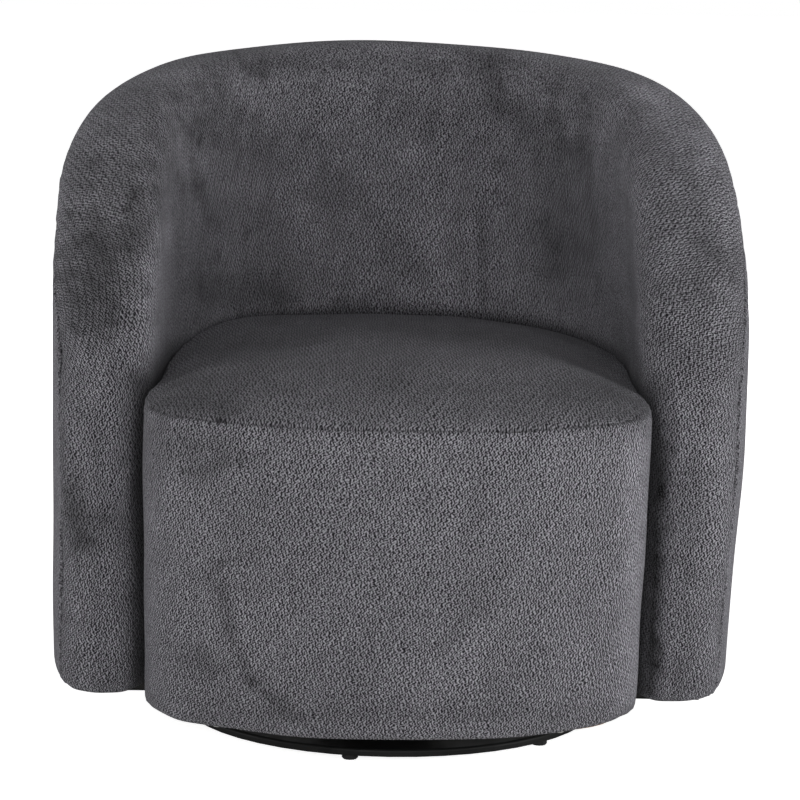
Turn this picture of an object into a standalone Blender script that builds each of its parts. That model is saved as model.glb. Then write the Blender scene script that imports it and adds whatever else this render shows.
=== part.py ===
"""Swivel armchair: a crowned seat drum inside a horseshoe shell, on a ball-bearing swivel and a round plate.

Metres, +Z up. The origin is on the floor on the swivel axis, +X to the right and +Y to the back.
"""

import math

import bmesh
import bpy
import numpy as np
from mathutils import Matrix, Vector

# Gap that touching pieces keep, and how far a cutter runs past what it cuts
TOUCH_GAP = 0.0003
OVERRUN = 0.004

# Plan of the horseshoe wall
WALL_HALF_WIDTH = 0.370
WALL_BACK_REACH = 0.345
WIDEST_Y = -0.050
ARM_FRONT_Y = -0.178
ARM_FRONT_DRAW_IN = 0.026
ARM_FRONT_WIDTH = 0.0855
OUTER_PLAN_POWER = 2.6
SEAT_LEVEL_SIDE_WIDTH = 0.123
SEAT_LEVEL_BACK_WIDTH = 0.098
SEAT_LEVEL_POWER = 2.15
TOP_LEVEL_SIDE_WIDTH = 0.119
TOP_LEVEL_BACK_WIDTH = 0.083
TOP_LEVEL_POWER = 2.5

# Side profile of the wall: a rim that sweeps from the top of the back into the upright arm fronts
FABRIC_BOTTOM_Z = 0.0545
WALL_TOP_Z = 0.7135
ARM_CURVE_START_Z = 0.370
RIM_POWER = 2.1
RIM_DEPTH = 0.055
RIM_ROUND_POWER = 3.0
FOAM_SLOT_POWER = 8.0
WALL_TAPER = 0.008
WALL_TAPER_HEIGHT = 0.360
WALL_TAPER_POWER = 1.5
OUTER_ROUND_HEIGHT = 0.024
OUTER_ROUND_DEPTH = 0.014
INNER_ROUND_DEPTH = 0.004
FRONT_BOTTOM_ROUND = 0.012
SEAM_DEPTH = 0.036
FOOT_SPREAD_POWER = 0.8
LOWEST_ROW_SHARE = 0.3

# Layers of the wall, from the skin inward
COVER_THICKNESS = 0.0020
SHELL_OUTER_FOAM = 0.012
SHELL_INNER_FOAM = 0.030
SHELL_RIM_FOAM = 0.050

# Wooden frame of the wall
PANEL_THICKNESS = 0.008
FORMER_THICKNESS = 0.015
WAIST_FORMER_Z = 0.290
TOP_RAIL_DEPTH = 0.022
TOP_RAIL_END_Z = 0.500
ARM_POST_WIDTH = 0.040
ARM_POST_CLEARANCE = 0.004
FRAME_CLEARANCE = 0.0012

# Seat drum
DRUM_FRONT_Y = -0.343
DRUM_BOW_SHARE = 1.722
DRUM_CORNER_RADIUS = 0.090
DRUM_SIDE_GAP = 0.003
DRUM_FOOT_TAPER = 0.006
DRUM_BULGE = 0.002
DRUM_BACK_GAP = 0.003
DRUM_CENTRE_Y = -0.040
SEAM_Z = 0.371
SEAT_BACK_RISE = 0.026
SEAT_CROWN_Z = 0.424
SEAT_CROWN_POWER = 3.2
DRUM_FOAM = 0.012
DRUM_FOAM_BACK_Y = 0.060
DRUM_PANEL = 0.0035
DRUM_FLOOR_THICKNESS = 0.015
DECK_Z = 0.285
DECK_THICKNESS = 0.018
DECK_RAIL_WIDTH = 0.048
POST_SIZE = 0.036

# Seat springs
SPRING_COUNT = 5
SPRING_PITCH_SHARE = 0.2583
SPRING_WIRE = 0.0038
SPRING_WAVE = 0.021
SPRING_WAVES = 5
SPRING_OVERHANG_SHARE = 0.16
SPRING_BEARING = 0.032
CLIP_LENGTH = 0.012
CLIP_FOOT = 0.007
CLIP_WALL = 0.0012
FELT_THICKNESS = 0.0030

# Underside
DUST_COVER_THICKNESS = 0.0008
DUST_COVER_MARGIN = 0.003
BOARD_THICKNESS = 0.012
BOARD_INSET = 0.030
BOARD_FRONT_INSET = 0.085
BOARD_EYE_RADIUS = 0.022

# Swivel bearing
PLATE_HALF_WIDTH = 0.075
PLATE_CORNER = 0.012
PLATE_THICKNESS = 0.0025
RACE_RADIUS = 0.050
RACE_HALF_WIDTH = 0.010
RACE_SLOPE = 0.0035
RACE_LIP = 0.0030
BALL_RADIUS = 0.0045
BALL_COUNT = 12
CAGE_THICKNESS = 0.0024
CAGE_HALF_WIDTH = 0.0062
BALL_CLEARANCE = 0.0004
PIN_RADIUS = 0.006
PIN_COLLAR = 0.003
PIN_HEAD_RADIUS = 0.0125
PIN_HEAD_HEIGHT = 0.003
PIN_CLEARANCE = 0.0005

# Fasteners
BOLT_OFFSET = 0.060
BOLT_RADIUS = 0.004
BOLT_HEAD_RADIUS = 0.0072
BOLT_HEAD_HEIGHT = 0.0038
SCREW_RADIUS = 0.0025
SCREW_HEAD_RADIUS = 0.0048
SCREW_HEAD_HEIGHT = 0.0022
SCREW_BITE = 0.009
WALL_SCREW_SHARES = (0.25, 0.78)

# Base plate on the floor, turned under the seat as it happens to stand
BASE_TURN = math.radians(-10.8)
BASE_RADIUS = 0.224
BASE_THICKNESS = 0.008
BASE_EDGE_ROUND = 0.003
GLIDE_COUNT = 6
GLIDE_EDGE_INSET = 0.0125
GLIDE_RADIUS = 0.0085
GLIDE_HEIGHT = 0.006
GLIDE_ROUND = 0.0012
GLIDE_STEM_RADIUS = 0.0030
GLIDE_STEM_LENGTH = 0.005

# Facets
PLAN_STEPS = 80
EDGE_SAMPLES = 240
RIM_STEPS = 15
ARM_FRONT_STEPS = 2
RIM_ROUND_STEPS = 6
BOW_STEPS = 6
CORNER_STEPS = 5
DRUM_SIDE_STEPS = 9
BACK_RAIL_STEPS = 4
CROWN_SHARES = (1.0, 0.965, 0.91, 0.82, 0.68, 0.46, 0.22, 0.0)
BASE_STEPS = 48
ROUND_STEPS = 24
PIN_STEPS = 12
SMALL_STEPS = 8
SPRING_STEPS = 6
EDGE_ROUND_STEPS = 3
SHARP_ANGLE = math.radians(35)

# Plan places that follow from the sizes above
ARM_FRONT_OUTER_X = WALL_HALF_WIDTH - ARM_FRONT_DRAW_IN
ARM_FRONT_INNER_X = ARM_FRONT_OUTER_X - ARM_FRONT_WIDTH
SEAT_LEVEL_HALF_WIDTH = WALL_HALF_WIDTH - SEAT_LEVEL_SIDE_WIDTH
SEAT_LEVEL_BACK_REACH = WALL_BACK_REACH - SEAT_LEVEL_BACK_WIDTH
TOP_LEVEL_HALF_WIDTH = WALL_HALF_WIDTH - TOP_LEVEL_SIDE_WIDTH
TOP_LEVEL_BACK_REACH = WALL_BACK_REACH - TOP_LEVEL_BACK_WIDTH
DRUM_HALF_WIDTH = ARM_FRONT_INNER_X - DRUM_SIDE_GAP
DRUM_BOW_RADIUS = DRUM_HALF_WIDTH * DRUM_BOW_SHARE
SPRING_PITCH = DRUM_HALF_WIDTH * SPRING_PITCH_SHARE
GLIDE_CIRCLE = BASE_RADIUS - GLIDE_EDGE_INSET

# Heights that follow from the sizes above
BASE_TOP_Z = GLIDE_HEIGHT + BASE_THICKNESS
LOWER_PLATE_Z = BASE_TOP_Z + TOUCH_GAP
LOWER_PLATE_TOP_Z = LOWER_PLATE_Z + PLATE_THICKNESS
FRAME_Z = FABRIC_BOTTOM_Z
BOARD_Z = FRAME_Z - TOUCH_GAP - BOARD_THICKNESS
DUST_COVER_Z = BOARD_Z - TOUCH_GAP - DUST_COVER_THICKNESS
UPPER_PLATE_Z = DUST_COVER_Z - TOUCH_GAP - PLATE_THICKNESS
BALL_Z = (LOWER_PLATE_TOP_Z + UPPER_PLATE_Z) / 2
DECK_TOP_Z = DECK_Z + DECK_THICKNESS
SPRING_Z = DECK_TOP_Z + TOUCH_GAP + SPRING_WIRE / 2
CLIP_TOP_Z = SPRING_Z + SPRING_WIRE / 2 + TOUCH_GAP + CLIP_WALL
FELT_Z = CLIP_TOP_Z + TOUCH_GAP
FELT_TOP_Z = FELT_Z + FELT_THICKNESS

# Depths of the layers from the skin
FOAM_SKIN = COVER_THICKNESS + TOUCH_GAP
PANEL_NEAR = FOAM_SKIN + SHELL_OUTER_FOAM + TOUCH_GAP
FRAME_NEAR = PANEL_NEAR + PANEL_THICKNESS + FRAME_CLEARANCE
FRAME_FAR = FOAM_SKIN + SHELL_INNER_FOAM + FRAME_CLEARANCE
DRUM_PANEL_NEAR = FOAM_SKIN + DRUM_FOAM + TOUCH_GAP
DRUM_FRAME_INSET = DRUM_PANEL_NEAR + DRUM_PANEL + TOUCH_GAP


def clear_scene():
    """Removes whatever the scene holds."""
    for scene_object in list(bpy.data.objects):
        bpy.data.objects.remove(scene_object)


def make_material(name, colour, roughness, metallic=0.0):
    """One Principled material."""
    material = bpy.data.materials.new(name)
    material.use_nodes = True
    shader = material.node_tree.nodes["Principled BSDF"]
    shader.inputs["Base Color"].default_value = (*colour, 1.0)
    shader.inputs["Roughness"].default_value = roughness
    shader.inputs["Metallic"].default_value = metallic
    return material


def add_object(name, mesh_data, material, smooth=True):
    """Turns a bmesh into a named object with its material."""
    bmesh.ops.remove_doubles(mesh_data, verts=mesh_data.verts, dist=TOUCH_GAP / 100)
    bmesh.ops.recalc_face_normals(mesh_data, faces=mesh_data.faces)
    mesh = bpy.data.meshes.new(name)
    mesh_data.to_mesh(mesh)
    mesh_data.free()
    piece = bpy.data.objects.new(name, mesh)
    bpy.context.scene.collection.objects.link(piece)
    mesh.materials.append(material)
    if smooth:
        mesh.shade_smooth()
        mesh.set_sharp_from_angle(angle=SHARP_ANGLE)
    return piece


def add_quad(mesh_data, a, b, c, d):
    """Two triangles over four corners, split from a to c, without those that have no area."""
    for corners in ((a, b, c), (a, c, d)):
        if len(set(corners)) == 3 and not mesh_data.faces.get(corners):
            mesh_data.faces.new(corners)


def thick_strip(name, side_a, side_b, material, closed=False):
    """Closed body between two grids of points of one size.

    side_a[i][k] and side_b[i][k] are its two faces; a closed strip joins its last row to its first.
    """
    mesh_data = bmesh.new()
    known = {}

    def vertex(point):
        key = tuple(round(value, 7) for value in point)
        if key not in known:
            known[key] = mesh_data.verts.new(point)
        return known[key]

    grid_a = [[vertex(point) for point in row] for row in side_a]
    grid_b = [[vertex(point) for point in row] for row in side_b]
    rows = len(grid_a)
    columns = len(grid_a[0])
    for i in range(rows if closed else rows - 1):
        j = (i + 1) % rows
        for k in range(columns - 1):
            add_quad(mesh_data, grid_a[i][k], grid_a[j][k], grid_a[j][k + 1], grid_a[i][k + 1])
            add_quad(mesh_data, grid_b[i][k], grid_b[i][k + 1], grid_b[j][k + 1], grid_b[j][k])
        for k in (0, columns - 1):
            add_quad(mesh_data, grid_a[i][k], grid_b[i][k], grid_b[j][k], grid_a[j][k])
    if not closed:
        for i in (0, rows - 1):
            for k in range(columns - 1):
                add_quad(mesh_data, grid_a[i][k], grid_a[i][k + 1], grid_b[i][k + 1], grid_b[i][k])
    return add_object(name, mesh_data, material)


def plate(name, outline, low, high, material, centre=None):
    """Flat plate: an outline extruded from one height to another, fanned round a centre if one is given."""
    mesh_data = bmesh.new()
    lower = [mesh_data.verts.new((x, y, low)) for x, y in outline]
    upper = [mesh_data.verts.new((x, y, high)) for x, y in outline]
    count = len(outline)
    for i in range(count):
        j = (i + 1) % count
        mesh_data.faces.new((lower[i], lower[j], upper[j], upper[i]))
    if centre is None:
        mesh_data.faces.new(lower[::-1])
        mesh_data.faces.new(upper)
    else:
        for ring, height in ((lower, low), (upper, high)):
            middle = mesh_data.verts.new((*centre, height))
            for i in range(count):
                mesh_data.faces.new((ring[i], ring[(i + 1) % count], middle))
    return add_object(name, mesh_data, material, smooth=False)


def turned(profile, steps, closed=True):
    """Solid of revolution about Z from a (radius, height) profile."""
    mesh_data = bmesh.new()
    points = [mesh_data.verts.new((radius, 0.0, height)) for radius, height in profile]
    pairs = list(zip(points, points[1:]))
    if closed:
        pairs.append((points[-1], points[0]))
    edges = [mesh_data.edges.new(pair) for pair in pairs]
    bmesh.ops.spin(
        mesh_data,
        geom=points + edges,
        cent=(0.0, 0.0, 0.0),
        axis=(0.0, 0.0, 1.0),
        angle=math.tau,
        steps=steps,
        use_merge=True,
    )
    bmesh.ops.remove_doubles(mesh_data, verts=mesh_data.verts, dist=TOUCH_GAP / 100)
    bmesh.ops.dissolve_degenerate(mesh_data, edges=mesh_data.edges, dist=TOUCH_GAP / 100)
    return mesh_data


def fastener(name, place, steps, profile, material):
    """Bolt, screw or glide: a turned solid at a plan place."""
    piece = add_object(name, turned(profile, steps, closed=False), material)
    piece.location = (*place, 0.0)
    return piece


def fuse_or_cut(target, mesh_data, name, operation):
    """Joins a body to a target, or cuts it out, with a Boolean."""
    tool = add_object(name, mesh_data, target.data.materials[0])
    tool.hide_render = True
    tool.display_type = "WIRE"
    change = target.modifiers.new(name, "BOOLEAN")
    change.operation = operation
    change.solver = "EXACT"
    change.object = tool


def drill(target, places, radius, low, high, name, steps=SMALL_STEPS):
    """Cuts upright round holes at plan places."""
    for index, (x, y) in enumerate(places):
        hole = bmesh.new()
        bmesh.ops.create_cone(
            hole,
            cap_ends=True,
            segments=steps,
            radius1=radius,
            radius2=radius,
            depth=high - low,
            matrix=Matrix.Translation((x, y, (low + high) / 2)),
        )
        fuse_or_cut(target, hole, f"{name}_{index + 1}", "DIFFERENCE")


def turn_with_base(x, y):
    """Turns a plan place with the base."""
    return (
        x * math.cos(BASE_TURN) - y * math.sin(BASE_TURN),
        x * math.sin(BASE_TURN) + y * math.cos(BASE_TURN),
    )


def wall_curve(half_width, back_reach, power, front_x):
    """Right half of one face of the wall in plan, from the middle of the back to the arm front."""
    back_depth = back_reach - WIDEST_Y
    points = []
    for turn in np.linspace(0.0, math.pi / 2, PLAN_STEPS):
        across = math.sin(turn) / half_width
        along = math.cos(turn) / back_depth
        radius = (across**power + along**power) ** (-1 / power)
        points.append((radius * math.sin(turn), WIDEST_Y + radius * math.cos(turn)))
    for share in np.linspace(0.0, 1.0, PLAN_STEPS // 2)[1:]:
        x = half_width + (front_x - half_width) * share**2
        points.append((x, WIDEST_Y + (ARM_FRONT_Y - WIDEST_Y) * share))
    return np.array(points)


OUTER_CURVE = wall_curve(WALL_HALF_WIDTH, WALL_BACK_REACH, OUTER_PLAN_POWER, ARM_FRONT_OUTER_X)
SEAT_CURVE = wall_curve(SEAT_LEVEL_HALF_WIDTH, SEAT_LEVEL_BACK_REACH, SEAT_LEVEL_POWER, ARM_FRONT_INNER_X)
TOP_CURVE = wall_curve(TOP_LEVEL_HALF_WIDTH, TOP_LEVEL_BACK_REACH, TOP_LEVEL_POWER, ARM_FRONT_INNER_X)
CURVE_RUNS = np.concatenate(([0.0], np.cumsum(np.hypot(*np.diff(OUTER_CURVE, axis=0).T))))
WALL_RUN = float(CURVE_RUNS[-1])
FRAME_RUN = WALL_RUN - RIM_DEPTH - FRONT_BOTTOM_ROUND


def on_curve(curve, run):
    """Point of a plan curve at a distance along the outer face, right half."""
    return np.array([float(np.interp(run, CURVE_RUNS, curve[:, column])) for column in (0, 1)])


def rounded_inset(height, depth):
    """How far a rounded bottom edge draws in at a height above the bottom."""
    if height >= OUTER_ROUND_HEIGHT:
        return 0.0
    fall = 1 - height / OUTER_ROUND_HEIGHT
    return depth * (1 - math.sqrt(max(1 - fall**2, 0.0)))


def wall_point(run, share, z, outer_skin, inner_skin):
    """Point in the wall: run along it, share across it from outside to inside, and height.

    The skins are the layers left out on the two faces.
    """
    height = max(z - FABRIC_BOTTOM_Z, 0.0)
    outer = on_curve(OUTER_CURVE, abs(run))
    lean = min(max((z - SEAM_Z) / (WALL_TOP_Z - SEAM_Z), 0.0), 1.0)
    inner = on_curve(SEAT_CURVE, abs(run)) * (1 - lean) + on_curve(TOP_CURVE, abs(run)) * lean
    across = inner - outer
    width = float(np.hypot(*across))
    taper = WALL_TAPER * max(1 - height / WALL_TAPER_HEIGHT, 0.0) ** WALL_TAPER_POWER
    start = taper + rounded_inset(height, OUTER_ROUND_DEPTH) + outer_skin
    end = width - rounded_inset(height, INNER_ROUND_DEPTH) - inner_skin
    x, y = outer + across / width * (start + (end - start) * share)
    return Vector((math.copysign(x, run) if run else 0.0, y, z))


def rim_edge():
    """Evenly spaced places along the rim of the right half: run, height and inward direction."""
    turns = np.linspace(0.0, math.pi / 2, EDGE_SAMPLES)
    runs = WALL_RUN * np.sin(turns) ** (2 / RIM_POWER)
    rise = np.clip(np.cos(turns), 0.0, 1.0) ** (2 / RIM_POWER)
    heights = ARM_CURVE_START_Z + (WALL_TOP_Z - ARM_CURVE_START_Z) * rise
    lengths = np.concatenate(([0.0], np.cumsum(np.hypot(np.diff(runs), np.diff(heights)))))
    places = []
    for length in np.linspace(0.0, lengths[-1], RIM_STEPS + 1):
        near = [float(np.clip(length + step, 0.0, lengths[-1])) for step in (-RIM_DEPTH / 4, RIM_DEPTH / 4)]
        run_step = np.interp(near[1], lengths, runs) - np.interp(near[0], lengths, runs)
        rise_step = np.interp(near[1], lengths, heights) - np.interp(near[0], lengths, heights)
        if length == 0.0:
            rise_step = 0.0
        if length == lengths[-1]:
            run_step = 0.0
        size = math.hypot(run_step, rise_step)
        inward = (float(rise_step / size), float(-run_step / size))
        place = (float(np.interp(length, lengths, runs)), float(np.interp(length, lengths, heights)))
        places.append((*place, inward))
    return places


def rim_stations():
    """Stations of the right half: rim place, inward direction and where its line meets the bottom."""
    edge = rim_edge()
    corner_z = FABRIC_BOTTOM_Z + FRONT_BOTTOM_ROUND
    for share in np.linspace(0.0, 1.0, ARM_FRONT_STEPS + 1)[1:]:
        z = ARM_CURVE_START_Z + (corner_z - ARM_CURVE_START_Z) * float(share)
        edge.append((WALL_RUN, z, (-1.0, 0.0)))
    for angle in (math.pi / 4, math.pi / 2):
        run = WALL_RUN - FRONT_BOTTOM_ROUND * (1 - math.cos(angle))
        z = corner_z - FRONT_BOTTOM_ROUND * math.sin(angle) if angle < math.pi / 2 else FABRIC_BOTTOM_Z
        edge.append((run, z, (-1.0, 0.0)))
    lengths = [0.0]
    for before, after in zip(edge, edge[1:]):
        lengths.append(lengths[-1] + math.hypot(after[0] - before[0], after[1] - before[1]))
    stations = []
    for (run, z, inward), length in zip(edge, lengths):
        stations.append((run, z, inward, FRAME_RUN * (length / lengths[-1]) ** FOOT_SPREAD_POWER))
    return stations


def mirrored(stations):
    """Stations of the whole rim, from the foot of the left arm over the back to the foot of the right arm."""
    left = [(-run, z, (-inward[0], inward[1]), -base) for run, z, inward, base in stations[:0:-1]]
    return left + stations


def side_places(station):
    """Run and height of the rows of one station, from the rim's inner edge down to the bottom."""
    run, z, inward, base_run = station
    top_run = run + inward[0] * RIM_DEPTH
    height = max(z + inward[1] * RIM_DEPTH - FABRIC_BOTTOM_Z, 0.0)
    low = min(OUTER_ROUND_HEIGHT, height / 2)
    places = []
    for row in (height, (height + low) / 2, low, low * LOWEST_ROW_SHARE, 0.0):
        share = 1 - row / height if height else 1.0
        places.append((top_run + (base_run - top_run) * share, FABRIC_BOTTOM_Z + row))
    return places


def rim_turn(depth, inset):
    """Turn round the rim, from its outer side, at a depth below its top."""
    return math.asin(((RIM_DEPTH - depth) / (RIM_DEPTH - inset)) ** (RIM_ROUND_POWER / 2))


def wall_loop(station, outer_skin, inner_skin, rim_inset, power, part="whole"):
    """Points of one layer at one station, over the rim from the outer foot to the inner foot.

    part is whole, outer (up to the seam) or inner (from the seam on).
    """
    run, z, inward, _ = station

    def rim_point(turn):
        cosine = math.cos(turn)
        share = (1 - math.copysign(abs(cosine) ** (2 / power), cosine)) / 2
        depth = rim_inset + (RIM_DEPTH - rim_inset) * (1 - abs(math.sin(turn)) ** (2 / power))
        at_z = max(z + inward[1] * depth, FABRIC_BOTTOM_Z)
        return wall_point(run + inward[0] * depth, share, at_z, outer_skin, inner_skin)

    places = side_places(station)
    outer_side = [wall_point(at_run, 0.0, at_z, outer_skin, inner_skin) for at_run, at_z in places[::-1]]
    inner_side = [wall_point(at_run, 1.0, at_z, outer_skin, inner_skin) for at_run, at_z in places]
    rim = [rim_point(math.pi * step / RIM_ROUND_STEPS) for step in range(1, RIM_ROUND_STEPS)]
    if part == "outer":
        return outer_side + [rim_point(rim_turn(SEAM_DEPTH + TOUCH_GAP / 2, rim_inset))]
    if part == "inner":
        return [rim_point(rim_turn(SEAM_DEPTH - TOUCH_GAP / 2, rim_inset))] + rim + inner_side
    return outer_side + rim + inner_side


def make_shell_covers(stations, fabric, outer_fabric):
    """Outer and inner cover of the wall, sewn together just outside the rim."""
    for name, part, material in (("outer_cover", "outer", outer_fabric), ("inner_cover", "inner", fabric)):
        skin = COVER_THICKNESS
        face = [wall_loop(station, 0.0, 0.0, 0.0, RIM_ROUND_POWER, part) for station in stations]
        back = [wall_loop(station, skin, skin, skin, RIM_ROUND_POWER, part) for station in stations]
        thick_strip(name, face, back, material)


def make_shell_foam(stations, foam):
    """Padded sleeve over the wall's frame, open at the bottom."""
    face = [wall_loop(station, FOAM_SKIN, FOAM_SKIN, FOAM_SKIN, RIM_ROUND_POWER) for station in stations]
    slot = [
        wall_loop(
            station,
            FOAM_SKIN + SHELL_OUTER_FOAM,
            FOAM_SKIN + SHELL_INNER_FOAM,
            FOAM_SKIN + SHELL_RIM_FOAM,
            FOAM_SLOT_POWER,
        )
        for station in stations
    ]
    thick_strip("shell_foam", face, slot, foam)


def run_at(station, z):
    """Run of one station's line at a height."""
    places = side_places(station)
    (top_run, top_z), (base_run, base_z) = places[0], places[-1]
    return top_run + (base_run - top_run) * (top_z - z) / max(top_z - base_z, TOUCH_GAP)


def face_line(station, depth, from_inside=False):
    """Points down one station of a surface that lies a depth behind the wall's outer or inner face."""
    if from_inside:
        return [wall_point(run, 1.0, z, 0.0, depth) for run, z in side_places(station)]
    return [wall_point(run, 0.0, z, depth, 0.0) for run, z in side_places(station)]


def face_point(station, depth, z, from_inside=False):
    """Point at one height on such a surface."""
    line = face_line(station, depth, from_inside)
    for upper, lower in zip(line, line[1:]):
        if lower.z <= z <= upper.z:
            share = (upper.z - z) / (upper.z - lower.z) if upper.z > lower.z else 0.0
            return upper.lerp(lower, share)
    return line[0] if z > line[0].z else line[-1]


def make_shell_panel(stations, plywood):
    """Bent plywood panel behind the outer foam, cut along the rim."""
    kept = stations[1:-1]
    face = [face_line(station, PANEL_NEAR)[::-1] for station in kept]
    back = [face_line(station, PANEL_NEAR + PANEL_THICKNESS)[::-1] for station in kept]
    thick_strip("shell_panel", face, back, plywood)


def raised(point, height):
    """A point moved up."""
    return point + Vector((0.0, 0.0, height))


def former_stations(stations, z, far_run):
    """Stations that cross a former's whole thickness within a run to either side."""
    top_z = z + FORMER_THICKNESS
    high_enough = [station for station in stations if side_places(station)[0][1] > top_z]
    return [station for station in high_enough if abs(run_at(station, top_z)) < far_run]


def make_shell_formers(stations, plywood):
    """Horseshoe formers at the foot and the waist of the wall."""
    waist_run = FRAME_RUN - ARM_POST_WIDTH - TOUCH_GAP
    end_near = FRAME_NEAR + ARM_POST_CLEARANCE
    end_far = FRAME_FAR + ARM_POST_CLEARANCE
    for name, z, far_run in (
        ("shell_foot_former", FRAME_Z, FRAME_RUN),
        ("shell_waist_former", WAIST_FORMER_Z, waist_run),
    ):
        heights = (z, z + FORMER_THICKNESS)
        outer_edge = []
        inner_edge = []
        for station in former_stations(stations, z, far_run):
            outer_edge.append([face_point(station, FRAME_NEAR, height) for height in heights])
            inner_edge.append(
                [face_point(station, FRAME_FAR, height, from_inside=True) for height in heights]
            )
        for sign, at in ((-1.0, 0), (1.0, len(outer_edge) + 1)):
            run = sign * far_run
            outer_edge.insert(at, [wall_point(run, 0.0, height, end_near, 0.0) for height in heights])
            inner_edge.insert(at, [wall_point(run, 1.0, height, 0.0, end_far) for height in heights])
        former = thick_strip(name, outer_edge, inner_edge, plywood)
        if name == "shell_foot_former":
            drill_frame(former, wall_screw_places())


def make_top_rail(stations, plywood):
    """Laminated rail that follows the rim inside the foam."""
    outer_edge = []
    inner_edge = []
    for station in stations:
        if station[1] < TOP_RAIL_END_Z:
            continue
        top_z = side_places(station)[0][1]
        heights = (top_z, top_z - TOP_RAIL_DEPTH)
        outer_edge.append([face_point(station, FRAME_NEAR, z) for z in heights])
        inner_edge.append([face_point(station, FRAME_FAR, z, from_inside=True) for z in heights])
    thick_strip("shell_top_rail", outer_edge, inner_edge, plywood)


def make_arm_posts(pine):
    """Upright posts inside the arm fronts, on the foot former."""
    heights = (FRAME_Z + FORMER_THICKNESS + TOUCH_GAP, ARM_CURVE_START_Z)
    near = FRAME_NEAR + ARM_POST_CLEARANCE
    far = FRAME_FAR + ARM_POST_CLEARANCE
    for name, sign in (("arm_post_left", -1.0), ("arm_post_right", 1.0)):
        outer_edge = []
        inner_edge = []
        for run in (FRAME_RUN - ARM_POST_WIDTH, FRAME_RUN):
            outer = wall_point(sign * run, 0.0, heights[0], near, 0.0)
            inner = wall_point(sign * run, 1.0, heights[0], 0.0, far)
            outer_edge.append([outer, raised(outer, heights[1] - heights[0])])
            inner_edge.append([inner, raised(inner, heights[1] - heights[0])])
        thick_strip(name, outer_edge, inner_edge, pine)


def drum_half_outline(inset, side_inset):
    """Right half of the drum's plan, from the middle of the front to the middle of the back."""
    bow_radius = DRUM_BOW_RADIUS - inset
    corner_radius = DRUM_CORNER_RADIUS - inset
    bow_centre_y = DRUM_FRONT_Y + DRUM_BOW_RADIUS
    corner_x = DRUM_HALF_WIDTH - side_inset - corner_radius
    corner_y = bow_centre_y - math.sqrt((bow_radius - corner_radius) ** 2 - corner_x**2)
    bow_end = math.asin(corner_x / (bow_radius - corner_radius))
    points = []
    for step in range(BOW_STEPS):
        angle = bow_end * step / BOW_STEPS
        points.append((bow_radius * math.sin(angle), bow_centre_y - bow_radius * math.cos(angle)))
    for step in range(CORNER_STEPS + 1):
        angle = bow_end + (math.pi / 2 - bow_end) * step / CORNER_STEPS
        points.append(
            (corner_x + corner_radius * math.sin(angle), corner_y - corner_radius * math.cos(angle))
        )
    for step in range(DRUM_SIDE_STEPS + 1):
        run = WALL_RUN * (1 - step / DRUM_SIDE_STEPS)
        place = wall_point(run, 1.0, SEAM_Z, 0.0, -DRUM_BACK_GAP - side_inset)
        points.append((place.x, place.y))
    return points


def whole_outline(half):
    """Both halves of a plan, once round."""
    return half + [(-x, y) for x, y in half[-2:0:-1]]


def drum_foot_inset(z):
    """How far the drum's sides draw in towards its foot."""
    return DRUM_FOOT_TAPER * (SEAM_Z - z) / (SEAM_Z - FABRIC_BOTTOM_Z)


def seat_edge_z(y):
    """Height of the seat's edge, rising from the seam towards the back."""
    share = min(max((y - DRUM_FRONT_Y) / (SEAT_LEVEL_BACK_REACH - DRUM_FRONT_Y), 0.0), 1.0)
    return SEAM_Z + SEAT_BACK_RISE * share * share * (3 - 2 * share)


def seat_rows(drop, inset):
    """Crowned top of the seat as rays from its edge to its middle, set down by a drop."""
    rows = []
    for x, y in whole_outline(drum_half_outline(inset, inset)):
        edge_z = seat_edge_z(y)
        row = []
        for share in CROWN_SHARES:
            z = edge_z + (SEAT_CROWN_Z - edge_z) * (1 - share**SEAT_CROWN_POWER) - drop
            row.append(Vector((x * share, DRUM_CENTRE_Y + (y - DRUM_CENTRE_Y) * share, z)))
        rows.append(row)
    return rows


def make_seat(fabric, foam, felt):
    """Seat cover, seat foam and the felt under it."""
    thick_strip("seat_cover", seat_rows(0.0, 0.0), seat_rows(COVER_THICKNESS, 0.0), fabric, closed=True)
    foam_top = seat_rows(FOAM_SKIN, FOAM_SKIN)
    foot = drum_foot_inset(FELT_TOP_Z)
    foam_z = FELT_TOP_Z + TOUCH_GAP
    foam_bottom = []
    for x, y in whole_outline(drum_half_outline(FOAM_SKIN, FOAM_SKIN + foot)):
        from_centre = y - DRUM_CENTRE_Y
        foam_bottom.append(
            [Vector((x * share, DRUM_CENTRE_Y + from_centre * share, foam_z)) for share in CROWN_SHARES]
        )
    thick_strip("seat_foam", foam_top, foam_bottom, foam, closed=True)
    outline = whole_outline(drum_half_outline(DRUM_FRAME_INSET, DRUM_FRAME_INSET))
    plate("spring_felt", outline, FELT_Z, FELT_TOP_Z, felt, centre=(0.0, DRUM_CENTRE_Y))


def front_part(half):
    """The drum's plan from the right side round the front to the left side."""
    kept = []
    for index, (x, y) in enumerate(half):
        if index <= BOW_STEPS + CORNER_STEPS or y < DRUM_FOAM_BACK_Y:
            kept.append((x, y))
    return kept[::-1] + [(-x, y) for x, y in kept[1:]]


def drum_layer(skin, levels):
    """One face of a layer round the drum's front, each row from bottom to top.

    At the seam's height a row ends under the seat cover's edge.
    """
    rows = None
    for z in levels:
        share = (z - FABRIC_BOTTOM_Z) / (SEAM_Z - FABRIC_BOTTOM_Z)
        bulge = DRUM_BULGE * 4 * share * (1 - share)
        places = front_part(drum_half_outline(skin - bulge, skin + drum_foot_inset(z) - bulge))
        if rows is None:
            rows = [[] for _ in places]
        for row, (x, y) in zip(rows, places):
            at_z = z
            if z == SEAM_Z:
                at_z = seat_edge_z(y) - COVER_THICKNESS - TOUCH_GAP
            row.append(Vector((x, y, at_z)))
    return rows


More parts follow.
